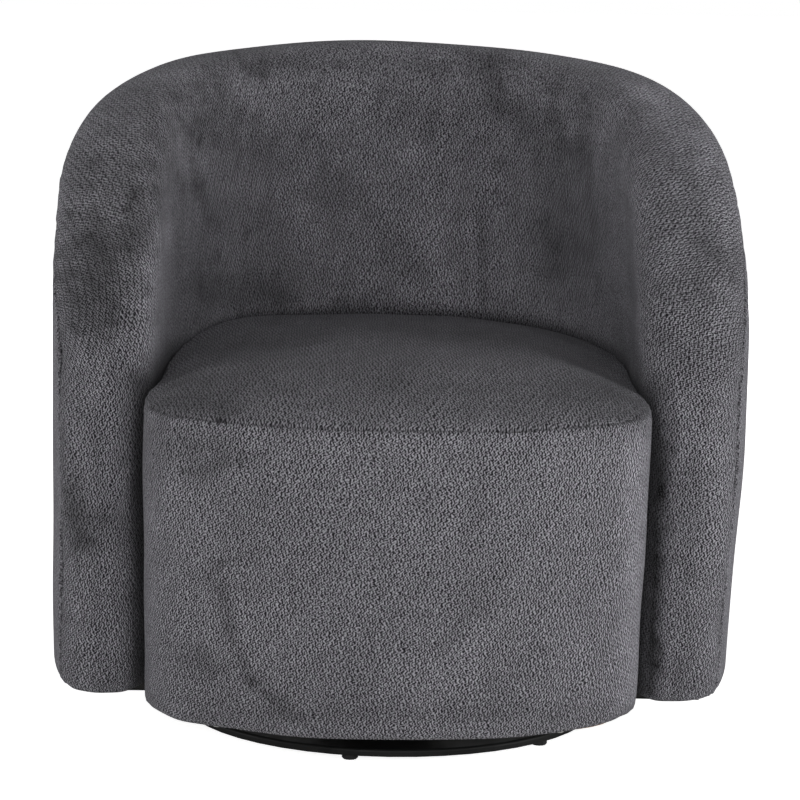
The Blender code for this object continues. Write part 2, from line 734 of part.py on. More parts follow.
def make_drum_front(fabric, foam, hardboard):
    """Front band, its foam and the bent hardboard behind it."""
    inside_levels = (FABRIC_BOTTOM_Z, (FABRIC_BOTTOM_Z + DECK_TOP_Z) / 2, DECK_TOP_Z)
    band_levels = (*inside_levels, SEAM_Z)
    thick_strip("front_band", drum_layer(0.0, band_levels), drum_layer(COVER_THICKNESS, band_levels), fabric)
    for name, near, thickness, material in (
        ("drum_foam", FOAM_SKIN, DRUM_FOAM, foam),
        ("drum_front_panel", DRUM_PANEL_NEAR, DRUM_PANEL, hardboard),
    ):
        far = near + thickness
        thick_strip(name, drum_layer(near, inside_levels), drum_layer(far, inside_levels), material)


def drum_ring(extra):
    """Outline of the drum's frame at deck level, set in further by an extra width."""
    inset = DRUM_FRAME_INSET + extra
    return whole_outline(drum_half_outline(inset, inset + drum_foot_inset(DECK_Z)))


def make_drum_frame(plywood, pine):
    """Floor and deck rails of the drum."""
    outline = whole_outline(drum_half_outline(DRUM_FRAME_INSET, DRUM_FRAME_INSET + DRUM_FOOT_TAPER))
    floor = plate(
        "drum_floor", outline, FRAME_Z, FRAME_Z + DRUM_FLOOR_THICKNESS, plywood, centre=(0.0, DRUM_CENTRE_Y)
    )
    drill_frame(floor, drum_screw_places())
    rail_outer = drum_ring(0.0)
    rail_inner = drum_ring(DECK_RAIL_WIDTH)
    count = len(rail_outer)
    corner = BOW_STEPS + CORNER_STEPS
    back_start = count // 2 - BACK_RAIL_STEPS
    ranges = (
        ("deck_rail_front", range(-corner, corner + 1)),
        ("deck_rail_right", range(corner, back_start + 1)),
        ("deck_rail_back", range(back_start, count - back_start + 1)),
        ("deck_rail_left", range(count - back_start, count - corner + 1)),
    )
    for name, indices in ranges:
        edges = []
        for ring in (rail_outer, rail_inner):
            edge = [Vector((*ring[index % count], DECK_Z)) for index in indices]
            for end, neighbour in ((0, 1), (-1, -2)):
                edge[end] += (edge[neighbour] - edge[end]).normalized() * TOUCH_GAP
            edges.append([[point, raised(point, DECK_THICKNESS)] for point in edge])
        rail = thick_strip(name, *edges, pine)
        if name in ("deck_rail_front", "deck_rail_back"):
            add_clips(rail, name == "deck_rail_front")


def make_posts(pine):
    """Posts between the drum's floor and its deck rails."""
    inset = DRUM_FRAME_INSET + DRUM_FOOT_TAPER + DECK_RAIL_WIDTH / 2
    half = drum_half_outline(inset, inset)
    corner = BOW_STEPS + CORNER_STEPS
    low = FRAME_Z + DRUM_FLOOR_THICKNESS + TOUCH_GAP
    reach = POST_SIZE / 2
    for place_name, (x, y) in (("front", half[BOW_STEPS]), ("side", half[corner + 4]), ("back", half[-3])):
        for side_name, sign in (("left", -1.0), ("right", 1.0)):
            outline = [
                (sign * x - reach, y - reach),
                (sign * x + reach, y - reach),
                (sign * x + reach, y + reach),
                (sign * x - reach, y + reach),
            ]
            plate(f"post_{place_name}_{side_name}", outline, low, DECK_Z - TOUCH_GAP, pine)


def spring_places():
    """Place across the seat of each spring, with its front and back end."""
    inset = DRUM_FRAME_INSET + DECK_RAIL_WIDTH - SPRING_BEARING
    half = drum_half_outline(inset, inset + drum_foot_inset(DECK_Z))
    corner = BOW_STEPS + CORNER_STEPS
    front = half[: corner + 1]
    back = half[:corner:-1]
    places = []
    for index in range(SPRING_COUNT):
        x = (index - (SPRING_COUNT - 1) / 2) * SPRING_PITCH
        ends = [
            float(np.interp(abs(x), [place[0] for place in side], [place[1] for place in side]))
            for side in (front, back)
        ]
        places.append((x, *ends))
    return places


def make_springs(steel):
    """Zigzag springs from the front deck rail to the back one."""
    for index, (x, front_y, back_y) in enumerate(spring_places()):
        run = back_y - front_y
        curve = bpy.data.curves.new(f"seat_spring_{index + 1}", "CURVE")
        curve.dimensions = "3D"
        curve.bevel_depth = SPRING_WIRE / 2
        curve.bevel_resolution = 1
        curve.use_fill_caps = True
        spline = curve.splines.new("POLY")
        steps = SPRING_WAVES * SPRING_STEPS
        spline.points.add(steps)
        for step in range(steps + 1):
            share = step / steps
            turn = math.tau * SPRING_WAVES * share
            overhang = run / SPRING_WAVES * SPRING_OVERHANG_SHARE * math.sin(2 * turn)
            y = front_y + run * share - overhang
            spline.points[step].co = (x + SPRING_WAVE * math.sin(turn), y, SPRING_Z, 1.0)
        spring = bpy.data.objects.new(curve.name, curve)
        bpy.context.scene.collection.objects.link(spring)
        curve.materials.append(steel)


def add_clips(rail, at_front):
    """Clips over the spring ends, fixed on a deck rail."""
    half = SPRING_WIRE / 2 + TOUCH_GAP
    top = SPRING_WIRE + 2 * TOUCH_GAP
    outline = [
        (-half - CLIP_FOOT, -CLIP_WALL),
        (half + CLIP_FOOT, -CLIP_WALL),
        (half + CLIP_FOOT, CLIP_WALL),
        (half + CLIP_WALL, CLIP_WALL),
        (half + CLIP_WALL, top + CLIP_WALL),
        (-half - CLIP_WALL, top + CLIP_WALL),
        (-half - CLIP_WALL, CLIP_WALL),
        (-half - CLIP_FOOT, CLIP_WALL),
    ]
    tunnel = [(-half, 0.0), (half, 0.0), (half, top), (-half, top)]
    clips = bmesh.new()
    tunnels = bmesh.new()
    crest = SPRING_WAVE * math.cos(math.pi / SPRING_STEPS)
    for x, front_y, back_y in spring_places():
        quarter = (back_y - front_y) / SPRING_WAVES / 4
        place = (x + crest, front_y + quarter) if at_front else (x - crest, back_y - quarter)
        add_prism(clips, outline, place, CLIP_LENGTH)
        add_prism(tunnels, tunnel, place, CLIP_LENGTH + OVERRUN)
    fuse_or_cut(rail, clips, f"{rail.name}_clips", "UNION")
    fuse_or_cut(rail, tunnels, f"{rail.name}_tunnels", "DIFFERENCE")


def add_prism(mesh_data, outline, place, length):
    """Adds an (x, z) outline on the deck, extruded along Y about a plan place."""
    ends = []
    for y in (place[1] - length / 2, place[1] + length / 2):
        ends.append([mesh_data.verts.new((place[0] + side, y, DECK_TOP_Z + rise)) for side, rise in outline])
    mesh_data.faces.new(ends[0])
    mesh_data.faces.new(ends[1][::-1])
    for i in range(len(outline)):
        j = (i + 1) % len(outline)
        mesh_data.faces.new((ends[0][i], ends[1][i], ends[1][j], ends[0][j]))


def underside_outline(margin):
    """Outline of drum and wall together, set in all round, less a margin."""
    front_inset = BOARD_FRONT_INSET - margin
    corner_y = ARM_FRONT_Y + front_inset
    drum = drum_half_outline(front_inset, front_inset + DRUM_FOOT_TAPER)
    half = [place for place in drum if place[1] < corner_y]
    half.append((DRUM_HALF_WIDTH - front_inset - DRUM_FOOT_TAPER, corner_y))
    for run in np.linspace(WALL_RUN - front_inset, 0.0, RIM_STEPS):
        z = FABRIC_BOTTOM_Z + OUTER_ROUND_HEIGHT
        place = wall_point(float(run), 0.0, z, BOARD_INSET - margin, 0.0)
        half.append((place.x, place.y))
    return whole_outline(half)


def wall_screw_places():
    """Plan places of the screws between base board and foot former."""
    places = []
    for share in WALL_SCREW_SHARES:
        outer = wall_point(FRAME_RUN * share, 0.0, FRAME_Z, FRAME_NEAR, 0.0)
        inner = wall_point(FRAME_RUN * share, 1.0, FRAME_Z, 0.0, FRAME_FAR)
        middle = (outer + inner) / 2
        places += [(middle.x, middle.y), (-middle.x, middle.y)]
    return places


def drum_screw_places():
    """Plan places of the screws between base board and drum floor."""
    inset = DRUM_FRAME_INSET + DECK_RAIL_WIDTH
    x, y = drum_half_outline(inset, inset)[BOW_STEPS]
    return [(x, y), (-x, y)]


def drill_frame(piece, places):
    """Blind screw holes in a piece that stands on the base board."""
    high = FRAME_Z + SCREW_BITE + TOUCH_GAP
    drill(piece, places, SCREW_RADIUS + TOUCH_GAP, FRAME_Z - OVERRUN, high, f"{piece.name}_hole")


def plate_places():
    """Places of the four holes of a swivel plate, before it is turned."""
    offset = BOLT_OFFSET
    return [(offset, offset), (-offset, offset), (-offset, -offset), (offset, -offset)]


def screw_profile(low, high):
    """Screw with its head below."""
    return [
        (0.0, low),
        (SCREW_HEAD_RADIUS, low),
        (SCREW_HEAD_RADIUS, low + SCREW_HEAD_HEIGHT),
        (SCREW_RADIUS, low + SCREW_HEAD_HEIGHT),
        (SCREW_RADIUS, high),
        (0.0, high),
    ]


def make_underside(cloth, plywood, steel):
    """Base board, dust cover and the screws that join the upholstery to the board."""
    board = plate("base_board", underside_outline(0.0), BOARD_Z, BOARD_Z + BOARD_THICKNESS, plywood)
    outline = underside_outline(DUST_COVER_MARGIN)
    cover = plate("dust_cover", outline, DUST_COVER_Z, DUST_COVER_Z + DUST_COVER_THICKNESS, cloth)
    body_places = wall_screw_places() + drum_screw_places()
    hole = SCREW_RADIUS + TOUCH_GAP
    low = DUST_COVER_Z - OVERRUN
    through = FRAME_Z + OVERRUN
    for piece in (board, cover):
        drill(piece, [(0.0, 0.0)], BOARD_EYE_RADIUS, low, through, f"{piece.name}_eye", PIN_STEPS)
        drill(piece, body_places, hole, low, through, f"{piece.name}_body_hole")
    drill(board, plate_places(), hole, low, BOARD_Z + SCREW_BITE + TOUCH_GAP, "board_plate_hole")
    drill(cover, plate_places(), hole, low, BOARD_Z, "cover_plate_hole")
    head_z = DUST_COVER_Z - TOUCH_GAP - SCREW_HEAD_HEIGHT
    profile = screw_profile(head_z, FRAME_Z + SCREW_BITE)
    for index, place in enumerate(body_places):
        fastener(f"body_screw_{index + 1}", place, SMALL_STEPS, profile, steel)


def race_profile(face_z, direction):
    """Pressed raceway of a swivel plate, with a groove for the balls.

    direction is 1 for a ring that rises and -1 for one that hangs.
    """
    groove = BALL_RADIUS + BALL_CLEARANCE
    ball_rise = abs(BALL_Z - face_z)
    lip_angle = math.acos(RACE_LIP / groove)
    crest = ball_rise - RACE_LIP
    foot = RACE_HALF_WIDTH + RACE_SLOPE
    points = [
        (RACE_RADIUS - foot, -PLATE_THICKNESS / 2),
        (RACE_RADIUS - foot, 0.0),
        (RACE_RADIUS - RACE_HALF_WIDTH, crest),
    ]
    for step in range(5):
        angle = lip_angle * (step / 2 - 1)
        points.append((RACE_RADIUS + groove * math.sin(angle), ball_rise - groove * math.cos(angle)))
    points += [
        (RACE_RADIUS + RACE_HALF_WIDTH, crest),
        (RACE_RADIUS + foot, 0.0),
        (RACE_RADIUS + foot, -PLATE_THICKNESS / 2),
    ]
    return [(radius, face_z + direction * height) for radius, height in points]


def make_swivel_plate(name, low, direction, turn, hole_radius, steel):
    """Square plate with cut corners, a pressed raceway, four holes and an eye for the pin."""
    high = low + PLATE_THICKNESS
    half = PLATE_HALF_WIDTH
    cut = half - PLATE_CORNER
    corners = [(half, -cut), (half, cut), (cut, half), (-cut, half)]
    corners += [(-half, cut), (-half, -cut), (-cut, -half), (cut, -half)]
    piece = plate(name, [turn(x, y) for x, y in corners], low, high, steel)
    race = turned(race_profile(high if direction > 0 else low, direction), ROUND_STEPS)
    fuse_or_cut(piece, race, f"{name}_race", "UNION")
    below, above = low - OVERRUN, high + OVERRUN
    drill(piece, [(0.0, 0.0)], PIN_RADIUS + PIN_CLEARANCE, below, above, f"{name}_eye", PIN_STEPS)
    places = [turn(x, y) for x, y in plate_places()]
    drill(piece, places, hole_radius + TOUCH_GAP, below, above, f"{name}_hole")


def make_ball_ring(nylon):
    """Cage with its balls: one ring that rolls between the two raceways."""
    low = BALL_Z - CAGE_THICKNESS / 2
    high = BALL_Z + CAGE_THICKNESS / 2
    profile = [
        (RACE_RADIUS - CAGE_HALF_WIDTH, low),
        (RACE_RADIUS + CAGE_HALF_WIDTH, low),
        (RACE_RADIUS + CAGE_HALF_WIDTH, high),
        (RACE_RADIUS - CAGE_HALF_WIDTH, high),
    ]
    cage = add_object("ball_ring", turned(profile, 2 * BALL_COUNT), nylon)
    balls = bmesh.new()
    for index in range(BALL_COUNT):
        turn = math.pi * (2 * index + 1) / BALL_COUNT
        place = Matrix.Translation((RACE_RADIUS * math.cos(turn), RACE_RADIUS * math.sin(turn), BALL_Z))
        bmesh.ops.create_icosphere(balls, subdivisions=1, radius=BALL_RADIUS, matrix=place)
    fuse_or_cut(cage, balls, "bearing_balls", "UNION")


def make_bearing(steel, nylon):
    """Swivel plates, ball ring, centre pin, bolts into the base and screws into the board."""
    make_swivel_plate("lower_swivel_plate", LOWER_PLATE_Z, 1, turn_with_base, BOLT_RADIUS, steel)
    make_swivel_plate("upper_swivel_plate", UPPER_PLATE_Z, -1, lambda x, y: (x, y), SCREW_RADIUS, steel)
    make_ball_ring(nylon)
    collar_z = LOWER_PLATE_TOP_Z + TOUCH_GAP
    head_z = UPPER_PLATE_Z + PLATE_THICKNESS + TOUCH_GAP
    pin = [
        (0.0, LOWER_PLATE_Z),
        (PIN_RADIUS, LOWER_PLATE_Z),
        (PIN_RADIUS, collar_z),
        (PIN_RADIUS + PIN_COLLAR, collar_z),
        (PIN_RADIUS + PIN_COLLAR, collar_z + PIN_COLLAR),
        (PIN_RADIUS, collar_z + PIN_COLLAR),
        (PIN_RADIUS, head_z),
        (PIN_HEAD_RADIUS, head_z),
        (PIN_HEAD_RADIUS, head_z + PIN_HEAD_HEIGHT),
        (0.0, head_z + PIN_HEAD_HEIGHT),
    ]
    fastener("centre_pin", (0.0, 0.0), PIN_STEPS, pin, steel)
    bolt = [
        (0.0, GLIDE_HEIGHT + TOUCH_GAP),
        (BOLT_RADIUS, GLIDE_HEIGHT + TOUCH_GAP),
        (BOLT_RADIUS, collar_z),
        (BOLT_HEAD_RADIUS, collar_z),
        (BOLT_HEAD_RADIUS, collar_z + BOLT_HEAD_HEIGHT),
        (0.0, collar_z + BOLT_HEAD_HEIGHT),
    ]
    screw = screw_profile(UPPER_PLATE_Z - TOUCH_GAP - SCREW_HEAD_HEIGHT, BOARD_Z + SCREW_BITE)
    for index, place in enumerate(plate_places()):
        fastener(f"plate_bolt_{index + 1}", turn_with_base(*place), SMALL_STEPS, bolt, steel)
        fastener(f"plate_screw_{index + 1}", place, SMALL_STEPS, screw, steel)


def make_base(steel, plastic):
    """Round plate on the floor, with its glides."""
    edge = BASE_RADIUS - BASE_EDGE_ROUND
    chamfer = BASE_EDGE_ROUND / 4
    profile = [
        (0.0, GLIDE_HEIGHT),
        (BASE_RADIUS - chamfer, GLIDE_HEIGHT),
        (BASE_RADIUS, GLIDE_HEIGHT + chamfer),
    ]
    for step in range(EDGE_ROUND_STEPS + 1):
        angle = math.pi / 2 * step / EDGE_ROUND_STEPS
        rise = BASE_TOP_Z - BASE_EDGE_ROUND * (1 - math.sin(angle))
        profile.append((edge + BASE_EDGE_ROUND * math.cos(angle), rise))
    profile.append((0.0, BASE_TOP_Z))
    base = add_object("base_plate", turned(profile, BASE_STEPS, closed=False), steel)
    drill(
        base,
        [turn_with_base(x, y) for x, y in plate_places()],
        BOLT_RADIUS + TOUCH_GAP,
        GLIDE_HEIGHT - OVERRUN,
        BASE_TOP_Z + OVERRUN,
        "base_bolt_hole",
    )
    stem_top = GLIDE_HEIGHT + GLIDE_STEM_LENGTH
    shoulder = GLIDE_HEIGHT - TOUCH_GAP
    glide = [
        (0.0, 0.0),
        (GLIDE_RADIUS - GLIDE_ROUND, 0.0),
        (GLIDE_RADIUS, GLIDE_ROUND),
        (GLIDE_RADIUS, shoulder),
        (GLIDE_STEM_RADIUS, shoulder),
        (GLIDE_STEM_RADIUS, stem_top),
        (0.0, stem_top),
    ]
    places = []
    for index in range(GLIDE_COUNT):
        turn = math.tau * index / GLIDE_COUNT
        places.append(turn_with_base(GLIDE_CIRCLE * math.sin(turn), -GLIDE_CIRCLE * math.cos(turn)))
        fastener(f"glide_{index + 1}", places[-1], PIN_STEPS, glide, plastic)
    hole = GLIDE_STEM_RADIUS + TOUCH_GAP
    drill(base, places, hole, GLIDE_HEIGHT - OVERRUN, stem_top + TOUCH_GAP, "base_glide_hole")


def build():
    """Builds the whole chair."""
    clear_scene()
    fabric = make_material("chenille", (0.090, 0.088, 0.098), 0.95)
    outer_fabric = make_material("outer_chenille", (0.085, 0.083, 0.092), 0.95)
    foam = make_material("foam", (0.78, 0.74, 0.58), 0.9)
    felt = make_material("felt", (0.35, 0.34, 0.33), 0.95)
    plywood = make_material("plywood", (0.62, 0.45, 0.28), 0.6)
    pine = make_material("pine", (0.72, 0.54, 0.33), 0.6)
    hardboard = make_material("hardboard", (0.30, 0.19, 0.11), 0.6)
    cloth = make_material("dust_cloth", (0.02, 0.02, 0.02), 0.9)
    black_steel = make_material("black_steel", (0.010, 0.011, 0.011), 0.35, 0.6)
    zinc = make_material("zinc_steel", (0.55, 0.55, 0.54), 0.35, 1.0)
    nylon = make_material("nylon", (0.75, 0.74, 0.70), 0.45)
    plastic = make_material("black_plastic", (0.015, 0.015, 0.015), 0.5)
    make_base(black_steel, plastic)
    make_bearing(zinc, nylon)
    make_underside(cloth, plywood, zinc)
    make_drum_frame(plywood, pine)
    make_posts(pine)
    make_springs(zinc)
    make_drum_front(fabric, foam, hardboard)
    make_seat(fabric, foam, felt)
    stations = mirrored(rim_stations())
    make_shell_formers(stations, plywood)
    make_shell_panel(stations, plywood)
    make_top_rail(stations, plywood)
    make_arm_posts(pine)
    make_shell_foam(stations, foam)
    make_shell_covers(stations, fabric, outer_fabric)


build()
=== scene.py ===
"""Swivel armchair: woven covers, and finishes of the frame and base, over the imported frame."""

import math

import bmesh
import bpy
import numpy as np
from mathutils import Matrix, Vector


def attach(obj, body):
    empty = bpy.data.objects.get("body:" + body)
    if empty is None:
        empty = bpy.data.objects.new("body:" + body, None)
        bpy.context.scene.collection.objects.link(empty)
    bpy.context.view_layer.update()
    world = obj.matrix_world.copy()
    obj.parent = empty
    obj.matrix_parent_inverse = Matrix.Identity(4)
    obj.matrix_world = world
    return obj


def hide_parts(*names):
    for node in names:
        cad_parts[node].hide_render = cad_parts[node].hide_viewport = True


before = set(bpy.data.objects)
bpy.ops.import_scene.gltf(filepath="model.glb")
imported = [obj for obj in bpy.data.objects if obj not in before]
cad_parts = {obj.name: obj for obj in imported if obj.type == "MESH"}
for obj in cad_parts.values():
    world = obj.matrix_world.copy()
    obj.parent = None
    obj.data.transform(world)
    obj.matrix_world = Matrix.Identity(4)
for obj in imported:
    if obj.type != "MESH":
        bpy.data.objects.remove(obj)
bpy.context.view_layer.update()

# Wall in plan, in metres
WALL_HALF_WIDTH = 0.370
WALL_BACK_REACH = 0.345
WALL_WIDEST_Y = -0.050
ARM_FRONT_Y = -0.178
ARM_FRONT_OUTER_X = 0.344
ARM_FRONT_INNER_X = 0.2585
OUTER_POWER = 2.6
SEAT_LEVEL_SHAPE = (0.247, 0.247, 2.15)
TOP_LEVEL_SHAPE = (0.251, 0.262, 2.5)

# Wall in height
FABRIC_BOTTOM_Z = 0.0545
SEAM_Z = 0.371
WALL_TOP_Z = 0.7135
ARM_CURVE_START_Z = 0.370
RIM_POWER = 2.1
RIM_DEPTH = 0.055
RIM_ROUND_POWER = 3.0
SEAM_DEPTH = 0.036
WALL_THICKNESS = 0.100
TAPER = 0.008
TAPER_HEIGHT = 0.360
OUTER_ROUND = (0.024, 0.014)
INNER_ROUND = (0.024, 0.004)
CORNER_ROUND = 0.012

# Seat drum
DRUM_FRONT_Y = -0.343
DRUM_BOW_RADIUS = 0.440
DRUM_CORNER_RADIUS = 0.090
DRUM_HALF_WIDTH = 0.2555
DRUM_FOOT_TAPER = 0.006
DRUM_TAPER_X = (0.10, 0.215)
DRUM_ROUND = (0.012, 0.006)
DRUM_BULGE = 0.002
DRUM_CENTRE_Y = -0.040
DRUM_WALL_GAP = 0.0015
DRUM_BAND_END_Y = 0.020
SEAT_BACK_RISE = 0.026
SEAT_CROWN_Z = 0.424
SEAT_CROWN_POWER = 3.2

# Rows of the cover meshes beside a seam, as distances from it
SEAM_ROWS = np.array([0.0, 0.8, 1.6, 2.6, 4.0, 6.0, 9.0, 13.0, 18.0]) / 1000

# Seams and hems of the covers
SEAM_SINK = 0.0040
SEAM_WIDTH = 0.0021
PUCKER_LENGTHS = (0.014, 0.030)
PUCKER_HEIGHT = 0.0007
PUCKER_REACH = 0.012
PUCKER_START = 0.003
HEM_WIDTH = 0.018
HEM_ROWS = (0.004, 0.011, HEM_WIDTH)
HEM_FRONT_GAP = 0.035
HEM_EDGE_HEIGHT = 0.0006
CLOTH_THICKNESS = 0.0018

# Shares that draw in the cloth's coordinates: round the wall's edge, because an arm front is narrower than
# the wall, and from front to back on the seat, where the weave lies stretched
ARM_NARROWING = 0.87
SEAT_WEAVE_PRESS = 0.72

# How the soft body has settled: a pair named X, Y or Z is the stretch over which a shift comes in or fades
LEAN = 0.006
LEAN_Z = (0.06, 0.32)
LEAN_BACK = 1.15
LEAN_BACK_Z = (0.42, 0.62)
WALL_SKIN_X = (0.265, 0.335)
WALL_BACK_Y = (0.0, 0.12)
RIGHT_LINING_LEAN = 0.85
SHOULDER_FULLNESS = (0.0038, 0.0022)
SHOULDER_X = 0.255
SHOULDER_SPREAD = 0.055
SHOULDER_Z = (0.56, 0.66)
WAIST_DRAWN_IN = (0.0048, 0.0030)
WAIST_Z = 0.545
WAIST_SPREAD = 0.060
ARM_EDGE_X = 0.292
ARM_EDGE_WIDTH = 0.034
ARM_EDGE_Y = (-0.12, -0.05)
ARM_EDGE_Z = (0.37, 0.44)
ARM_EDGE_PRESS = (0.003, 0.014)
DRUM_LEAN_X = (-0.24, 0.24)
DRUM_SIDE_X = (0.15, 0.25)
DRUM_SIDE_Z = (0.10, 0.34)
DRUM_SIDE_PRESS = 0.003
DRUM_RIGHT_PRESS = 0.0015
DRUM_FOOT_LIFT = (0.0015, 0.0045)
DRUM_FOOT_X = (0.17, 0.25)
DRUM_FOOT_Z = (0.05, 0.16)
DRUM_CORNER_LIFT = 0.0050
DRUM_CORNER_X = (0.205, 0.25)
DRUM_CORNER_Z = (0.055, 0.12)
DRUM_LIFT_Y = (-0.27, -0.19)
DRUM_TUCK = (0.0, 0.011)
SEAT_PUFF = 0.010
SEAT_PUFF_X = -0.19
SEAT_PUFF_SPREAD = 0.07
SEAT_PUFF_Y = (0.0, 0.12)
SEAT_PUFF_Z = (0.34, 0.37)

# Tone of the pile, and painted light and shade, as shares of its colour: soft patches of the pile, painted
# shade in seam grooves, painted rim light on the outer cover, painted shade over the seat, painted light at
# its front edge and painted shade at its right edge, lighter at its back edge, and painted shade in the gaps
# between drum and arms
PATCHES = ((0.055, 0.07, 0.26), (0.06, 0.014, 0.055))
UPPER_MOTTLING = 0.25
SEAM_PAINTED_SHADE = -0.62
SEAM_SHADE_WIDTH = 0.0034
THIN_SEAM_SHADE_WIDTH = 0.0018
OUTER_PAINTED_RIM_LIGHT = 0.10
SEAT_PAINTED_SHADE = -0.28
SEAT_FRONT_PAINTED_LIGHT = 0.24
SEAT_RIGHT_PAINTED_SHADE = -0.16
SEAT_BACK_EDGE_LIGHTENING = 0.13
BAND_PATCHES = 0.65
GAP_PAINTED_SHADE = -0.72

# Stretches over which shading comes in: a pair named X, Y or Z by place, or else by distance from an edge
UPPER_WALL_Z = (0.42, 0.60)
RIM_Z = (0.62, 0.70)
ARM_X = (0.24, 0.27)
WALL_GAP_Y = (-0.172, -0.145)
WALL_GAP_X = 0.285
WALL_GAP_EDGE = (0.0, 0.012)
WALL_GAP_TOP = (0.0, 0.018)
BAND_GAP_Y = (-0.195, -0.165)
BAND_SIDE_X = (0.05, 0.22)
SEAT_WAVE_START = 0.03
SEAT_EDGE = (0.02, 0.09)
SEAT_BACK_Y = (-0.22, -0.10)
SEAT_FRONT_Y = (-0.345, -0.255)
SEAT_FRONT_WEAVE_Y = (-0.33, -0.20)
SEAT_RIGHT_X = (0.13, 0.24)

# Strokes of brushed pile and of painted light and shade
STROKE_RAGGEDNESS = 0.22
STROKE_RAG_LENGTHS = (0.012, 0.05)
STROKE_EDGE_POWER = 2.4

# How clearly the weave shows on each cover, and what is added on the arms, the rim, the seat's front and the
# band's sides
INNER_CLEARNESS = 1.15
LEFT_ARM_CLEARNESS = 1.20
RIGHT_ARM_CLEARNESS = 0.35
RIM_CLEARNESS = -0.48
OUTER_CLEARNESS = 0.85
SEAT_CLEARNESS = 1.75
SEAT_FRONT_CLEARNESS = -0.2
BAND_CLEARNESS = 1.25
BAND_SIDE_CLEARNESS = 0.55

# Brushed places of the pile, and painted shade and light, laid on the front view's own picture in pixels
# from its upper left: across and down of both ends, half width, and how much lighter or darker
# Left arm: brushed pile, with painted shade along the crease between back and arm and beside the drum, and
# painted light along the arm's inner ridge, its outer edge and the top of the rim
LEFT_ARM_MARKS = (
    (72, 168, 95, 162, 13, -0.10),
    (97, 245, 99, 312, 30, -0.56),
    (70, 235, 70, 322, 13, -0.16),
    (85, 352, 105, 404, 22, 0.10),
    (172, 172, 163, 232, 9, 0.02),
    (163, 232, 150, 306, 11, 0.26),
    (150, 306, 137, 360, 10, 0.20),
    (158, 330, 150, 372, 8, 0.30),
    (64, 250, 62, 300, 7, -0.12),
    (128, 180, 150, 205, 14, -0.14),
    (108, 385, 102, 470, 30, 0.12),
    (110, 570, 108, 690, 30, 0.08),
    (188, 110, 191, 132, 11, -0.20),
    (190, 138, 198, 184, 8, -0.26),
    (198, 184, 208, 220, 8, -0.28),
    (206, 214, 218, 228, 6, -0.14),
    (182, 190, 176, 262, 8, -0.16),
    (70, 492, 82, 540, 15, -0.62),
    (80, 206, 100, 190, 5, 0.14),
    (92, 150, 132, 125, 9, 0.12),
    (112, 202, 140, 216, 16, -0.12),
    (60, 190, 60, 330, 5, 0.12),
    (136, 425, 136, 682, 6, -0.42),
    (164, 124, 158, 185, 17, -0.26),
    (142, 188, 139, 238, 13, -0.20),
    (90, 142, 112, 150, 12, 0.12),
    (166, 79, 198, 71, 7, 0.32),
    (123, 363, 137, 382, 5, -0.26),
    (60, 365, 64, 470, 6, -0.20),
)
# Right arm: brushed pile, with painted light on its upward-facing shoulder and rim top, and painted shade
# beside the drum and in the corner between back and arm
RIGHT_ARM_MARKS = (
    (640, 92, 712, 150, 15, 0.36),
    (705, 170, 728, 240, 10, 0.26),
    (676, 172, 693, 183, 9, -0.30),
    (612, 190, 622, 300, 15, 0.10),
    (690, 290, 690, 360, 23, -0.18),
    (602, 153, 632, 326, 6, 0.10),
    (586, 110, 582, 250, 17, -0.17),
    (720, 420, 706, 640, 12, 0.06),
    (663, 440, 651, 690, 8, -0.60),
    (614, 220, 618, 335, 10, 0.20),
    (625, 150, 628, 335, 6, 0.16),
    (692, 480, 688, 690, 24, -0.10),
    (657, 425, 649, 690, 5, -0.40),
    (642, 250, 652, 345, 10, -0.18),
    (732, 250, 740, 345, 10, -0.14),
    (622, 84, 655, 100, 8, 0.40),
    (608, 106, 597, 160, 4, 0.20),
    (597, 160, 598, 215, 4, 0.16),
)
# Back: brushed pile, with painted shade along its foot where it meets the seat and on its right side beside
# the arm
BACK_MARKS = (
    (205, 290, 280, 293, 22, -0.36),
    (340, 303, 386, 300, 9, -0.32),
    (540, 130, 556, 262, 32, -0.24),
    (505, 98, 580, 150, 24, -0.18),
    (481, 212, 484, 304, 5, -0.28),
    (470, 222, 472, 300, 6, 0.14),
    (545, 273, 562, 268, 11, -0.16),
    (330, 172, 322, 190, 22, -0.15),
    (432, 78, 433, 160, 7, -0.13),
    (244, 278, 272, 300, 24, -0.12),
    (430, 226, 450, 304, 16, 0.20),
    (360, 112, 402, 180, 46, 0.10),
    (250, 66, 500, 64, 12, -0.30),
    (194, 86, 226, 76, 9, -0.12),
    (520, 50, 606, 70, 9, 0.26),
    (140, 88, 190, 66, 9, 0.10),
    (214, 80, 212, 128, 22, -0.28),
    (232, 108, 262, 150, 20, -0.16),
)
# Band: brushed pile, with painted light down its right edge and painted shade along its foot
BAND_MARKS = (
    (164, 436, 214, 450, 24, -0.22),
    (180, 469, 193, 474, 3, -0.34),
    (241, 452, 241, 466, 3, -0.28),
    (203, 468, 213, 473, 3, -0.28),
    (218, 463, 262, 455, 5, -0.20),
    (638, 450, 630, 690, 14, 0.52),
    (590, 470, 580, 680, 40, 0.05),
    (206, 577, 222, 562, 4, -0.32),
    (222, 562, 244, 556, 4, -0.22),
    (222, 586, 228, 625, 7, -0.30),
    (228, 625, 252, 680, 5, -0.28),
    (252, 680, 292, 716, 6, -0.32),
    (238, 602, 262, 668, 8, 0.14),
    (205, 602, 214, 645, 6, 0.14),
    (186, 656, 214, 670, 12, -0.24),
    (205, 714, 600, 714, 13, -0.16),
    (440, 652, 480, 600, 9, -0.12),
    (482, 446, 474, 540, 12, -0.10),
    (152, 420, 152, 690, 5, 0.10),
    (176, 500, 196, 560, 18, 0.10),
    (240, 480, 420, 520, 40, 0.05),
)
